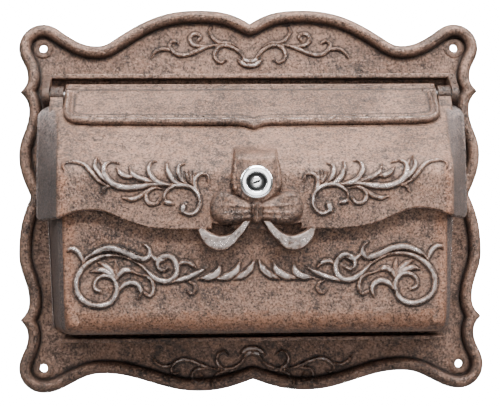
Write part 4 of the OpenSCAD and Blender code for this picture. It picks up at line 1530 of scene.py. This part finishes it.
chrome = bare_metal("lock_chrome_look", (0.96, 0.96, 0.97), 0.16, 500, 0.03)
plug_steel = bare_metal("plug_steel_look", (0.88, 0.87, 0.86), 0.22, 1500, 0.1)
pin_steel = bare_metal("pin_steel_look", (0.4, 0.38, 0.37), 0.36, 1100, 0.4)
zinc = bare_metal("zinc_steel_look", (0.56, 0.56, 0.55), 0.32, 800, 0.3)
stand_for(lock_housing(), "lock_housing_turned", "lock_housing", "lid", chrome)
stand_for(lock_plug(), "lock_plug_turned", "lock_plug", "plug", plug_steel)
metals = {
    "hinge_pin_left": (pin_steel, "pin_steel", 0.15),
    "hinge_pin_right": (pin_steel, "pin_steel", 0.15),
    "lock_washer": (zinc, "zinc_steel", 0.12),
    "lock_nut": (zinc, "zinc_steel", 0.3),
    "lock_cam": (zinc, "zinc_steel", 0.2),
    "cam_washer": (zinc, "zinc_steel", 0.12),
    "cam_nut": (zinc, "zinc_steel", 0.2),
    "shell_screws": (zinc, "zinc_steel", 0.15),
}
for node, (material, slot, width) in metals.items():
    obj = softened(node, width)
    for place in obj.material_slots:
        place.material = material


# ---- floor, light and camera -----------------------------------------------------

def disk(radius, z):
    mesh = bpy.data.meshes.new("floor")
    ring = arc(0, 0, radius, 0, 360, 96)[:-1]
    mesh.from_pydata([(x, y, z) for x, y in ring], [], [tuple(range(96))])
    obj = bpy.data.objects.new("floor", mesh)
    bpy.context.scene.collection.objects.link(obj)
    k = Look("floor_look")
    pale = k.ramp(k.noise(3, 3), (0.3, (0.11, 0.11, 0.11)), (0.7, (0.15, 0.15, 0.15)))
    dress(obj, k.finish(pale, k.scale(k.noise(40), 0.3, 0.7, 0.7, 0.85)))
    return obj


disk(1.5, -0.42)


def area_light(name, place, target, size, power):
    data = bpy.data.lights.new(name, "AREA")
    data.shape = "RECTANGLE"
    data.size, data.size_y = size
    data.energy = power
    obj = bpy.data.objects.new(name, data)
    obj.location = place
    obj.rotation_euler = (Vector(target) - Vector(place)).to_track_quat("-Z", "Y").to_euler()
    obj.visible_camera = False
    bpy.context.scene.collection.objects.link(obj)


area_light("top_softbox", (0.1, -0.3, 1.2), (0, -0.03, 0.02), (1.1, 0.35), 36)
area_light("left_softbox", (-1.1, -0.6, 0.75), (0, -0.04, 0), (0.2, 0.8), 13)
area_light("right_softbox", (1.1, -0.6, 0.75), (0, -0.04, 0), (0.2, 0.8), 20)
area_light("front_card", (0.15, -1.45, 0.1), (0, 0, 0), (0.7, 0.7), 6)
area_light("low_strip", (0.1, -0.5, -0.4), (0, -0.09, -0.09), (0.8, 0.1), 1.3)
area_light("front_strip", (0.1, -0.95, 0.95), (0, -0.05, 0.0), (0.9, 0.12), 30)


def white_studio():
    """Soft light from above that fades downwards, against a white backdrop."""
    world = bpy.data.worlds.new("white_studio")
    world.use_nodes = True
    bpy.context.scene.world = world
    tree = world.node_tree
    link = tree.links.new
    light = tree.nodes["Background"]
    direction = tree.nodes.new("ShaderNodeTexCoord")
    split = tree.nodes.new("ShaderNodeSeparateXYZ")
    link(direction.outputs["Generated"], split.inputs[0])
    sky = tree.nodes.new("ShaderNodeValToRGB")
    low, high = sky.color_ramp.elements
    low.position, high.position = 0.0, 0.9
    low.color = (0.11, 0.105, 0.1, 1)
    high.color = (0.75, 0.77, 0.8, 1)
    link(split.outputs["Z"], sky.inputs[0])
    link(sky.outputs[0], light.inputs["Color"])
    backdrop = tree.nodes.new("ShaderNodeBackground")
    backdrop.inputs["Color"].default_value = (1, 1, 1, 1)
    backdrop.inputs["Strength"].default_value = 40.0
    path = tree.nodes.new("ShaderNodeLightPath")
    blend = tree.nodes.new("ShaderNodeMixShader")
    link(path.outputs["Is Camera Ray"], blend.inputs[0])
    link(light.outputs[0], blend.inputs[1])
    link(backdrop.outputs[0], blend.inputs[2])
    link(blend.outputs[0], tree.nodes["World Output"].inputs["Surface"])


white_studio()


def camera(azimuth, elevation, roll, distance, target, lens):
    data = bpy.data.cameras.new("camera")
    data.lens = lens
    data.sensor_width = 36
    data.clip_start, data.clip_end = 0.05, 20
    az, el, turn = (math.radians(a) for a in (azimuth, elevation, roll))
    back = Vector((math.sin(az) * math.cos(el), -math.cos(az) * math.cos(el), math.sin(el)))
    obj = bpy.data.objects.new("camera", data)
    obj.location = Vector(target) + back * distance
    base = (-back).to_track_quat("-Z", "Y").to_matrix()
    obj.rotation_euler = (base @ Matrix.Rotation(turn, 3, "Z")).to_euler()
    bpy.context.scene.collection.objects.link(obj)
    bpy.context.scene.camera = obj


camera(-2.53, -2.83, -0.49, 1.1, (-0.0008, 0, 0.0028), 98.5)

bpy.context.view_layer.update()
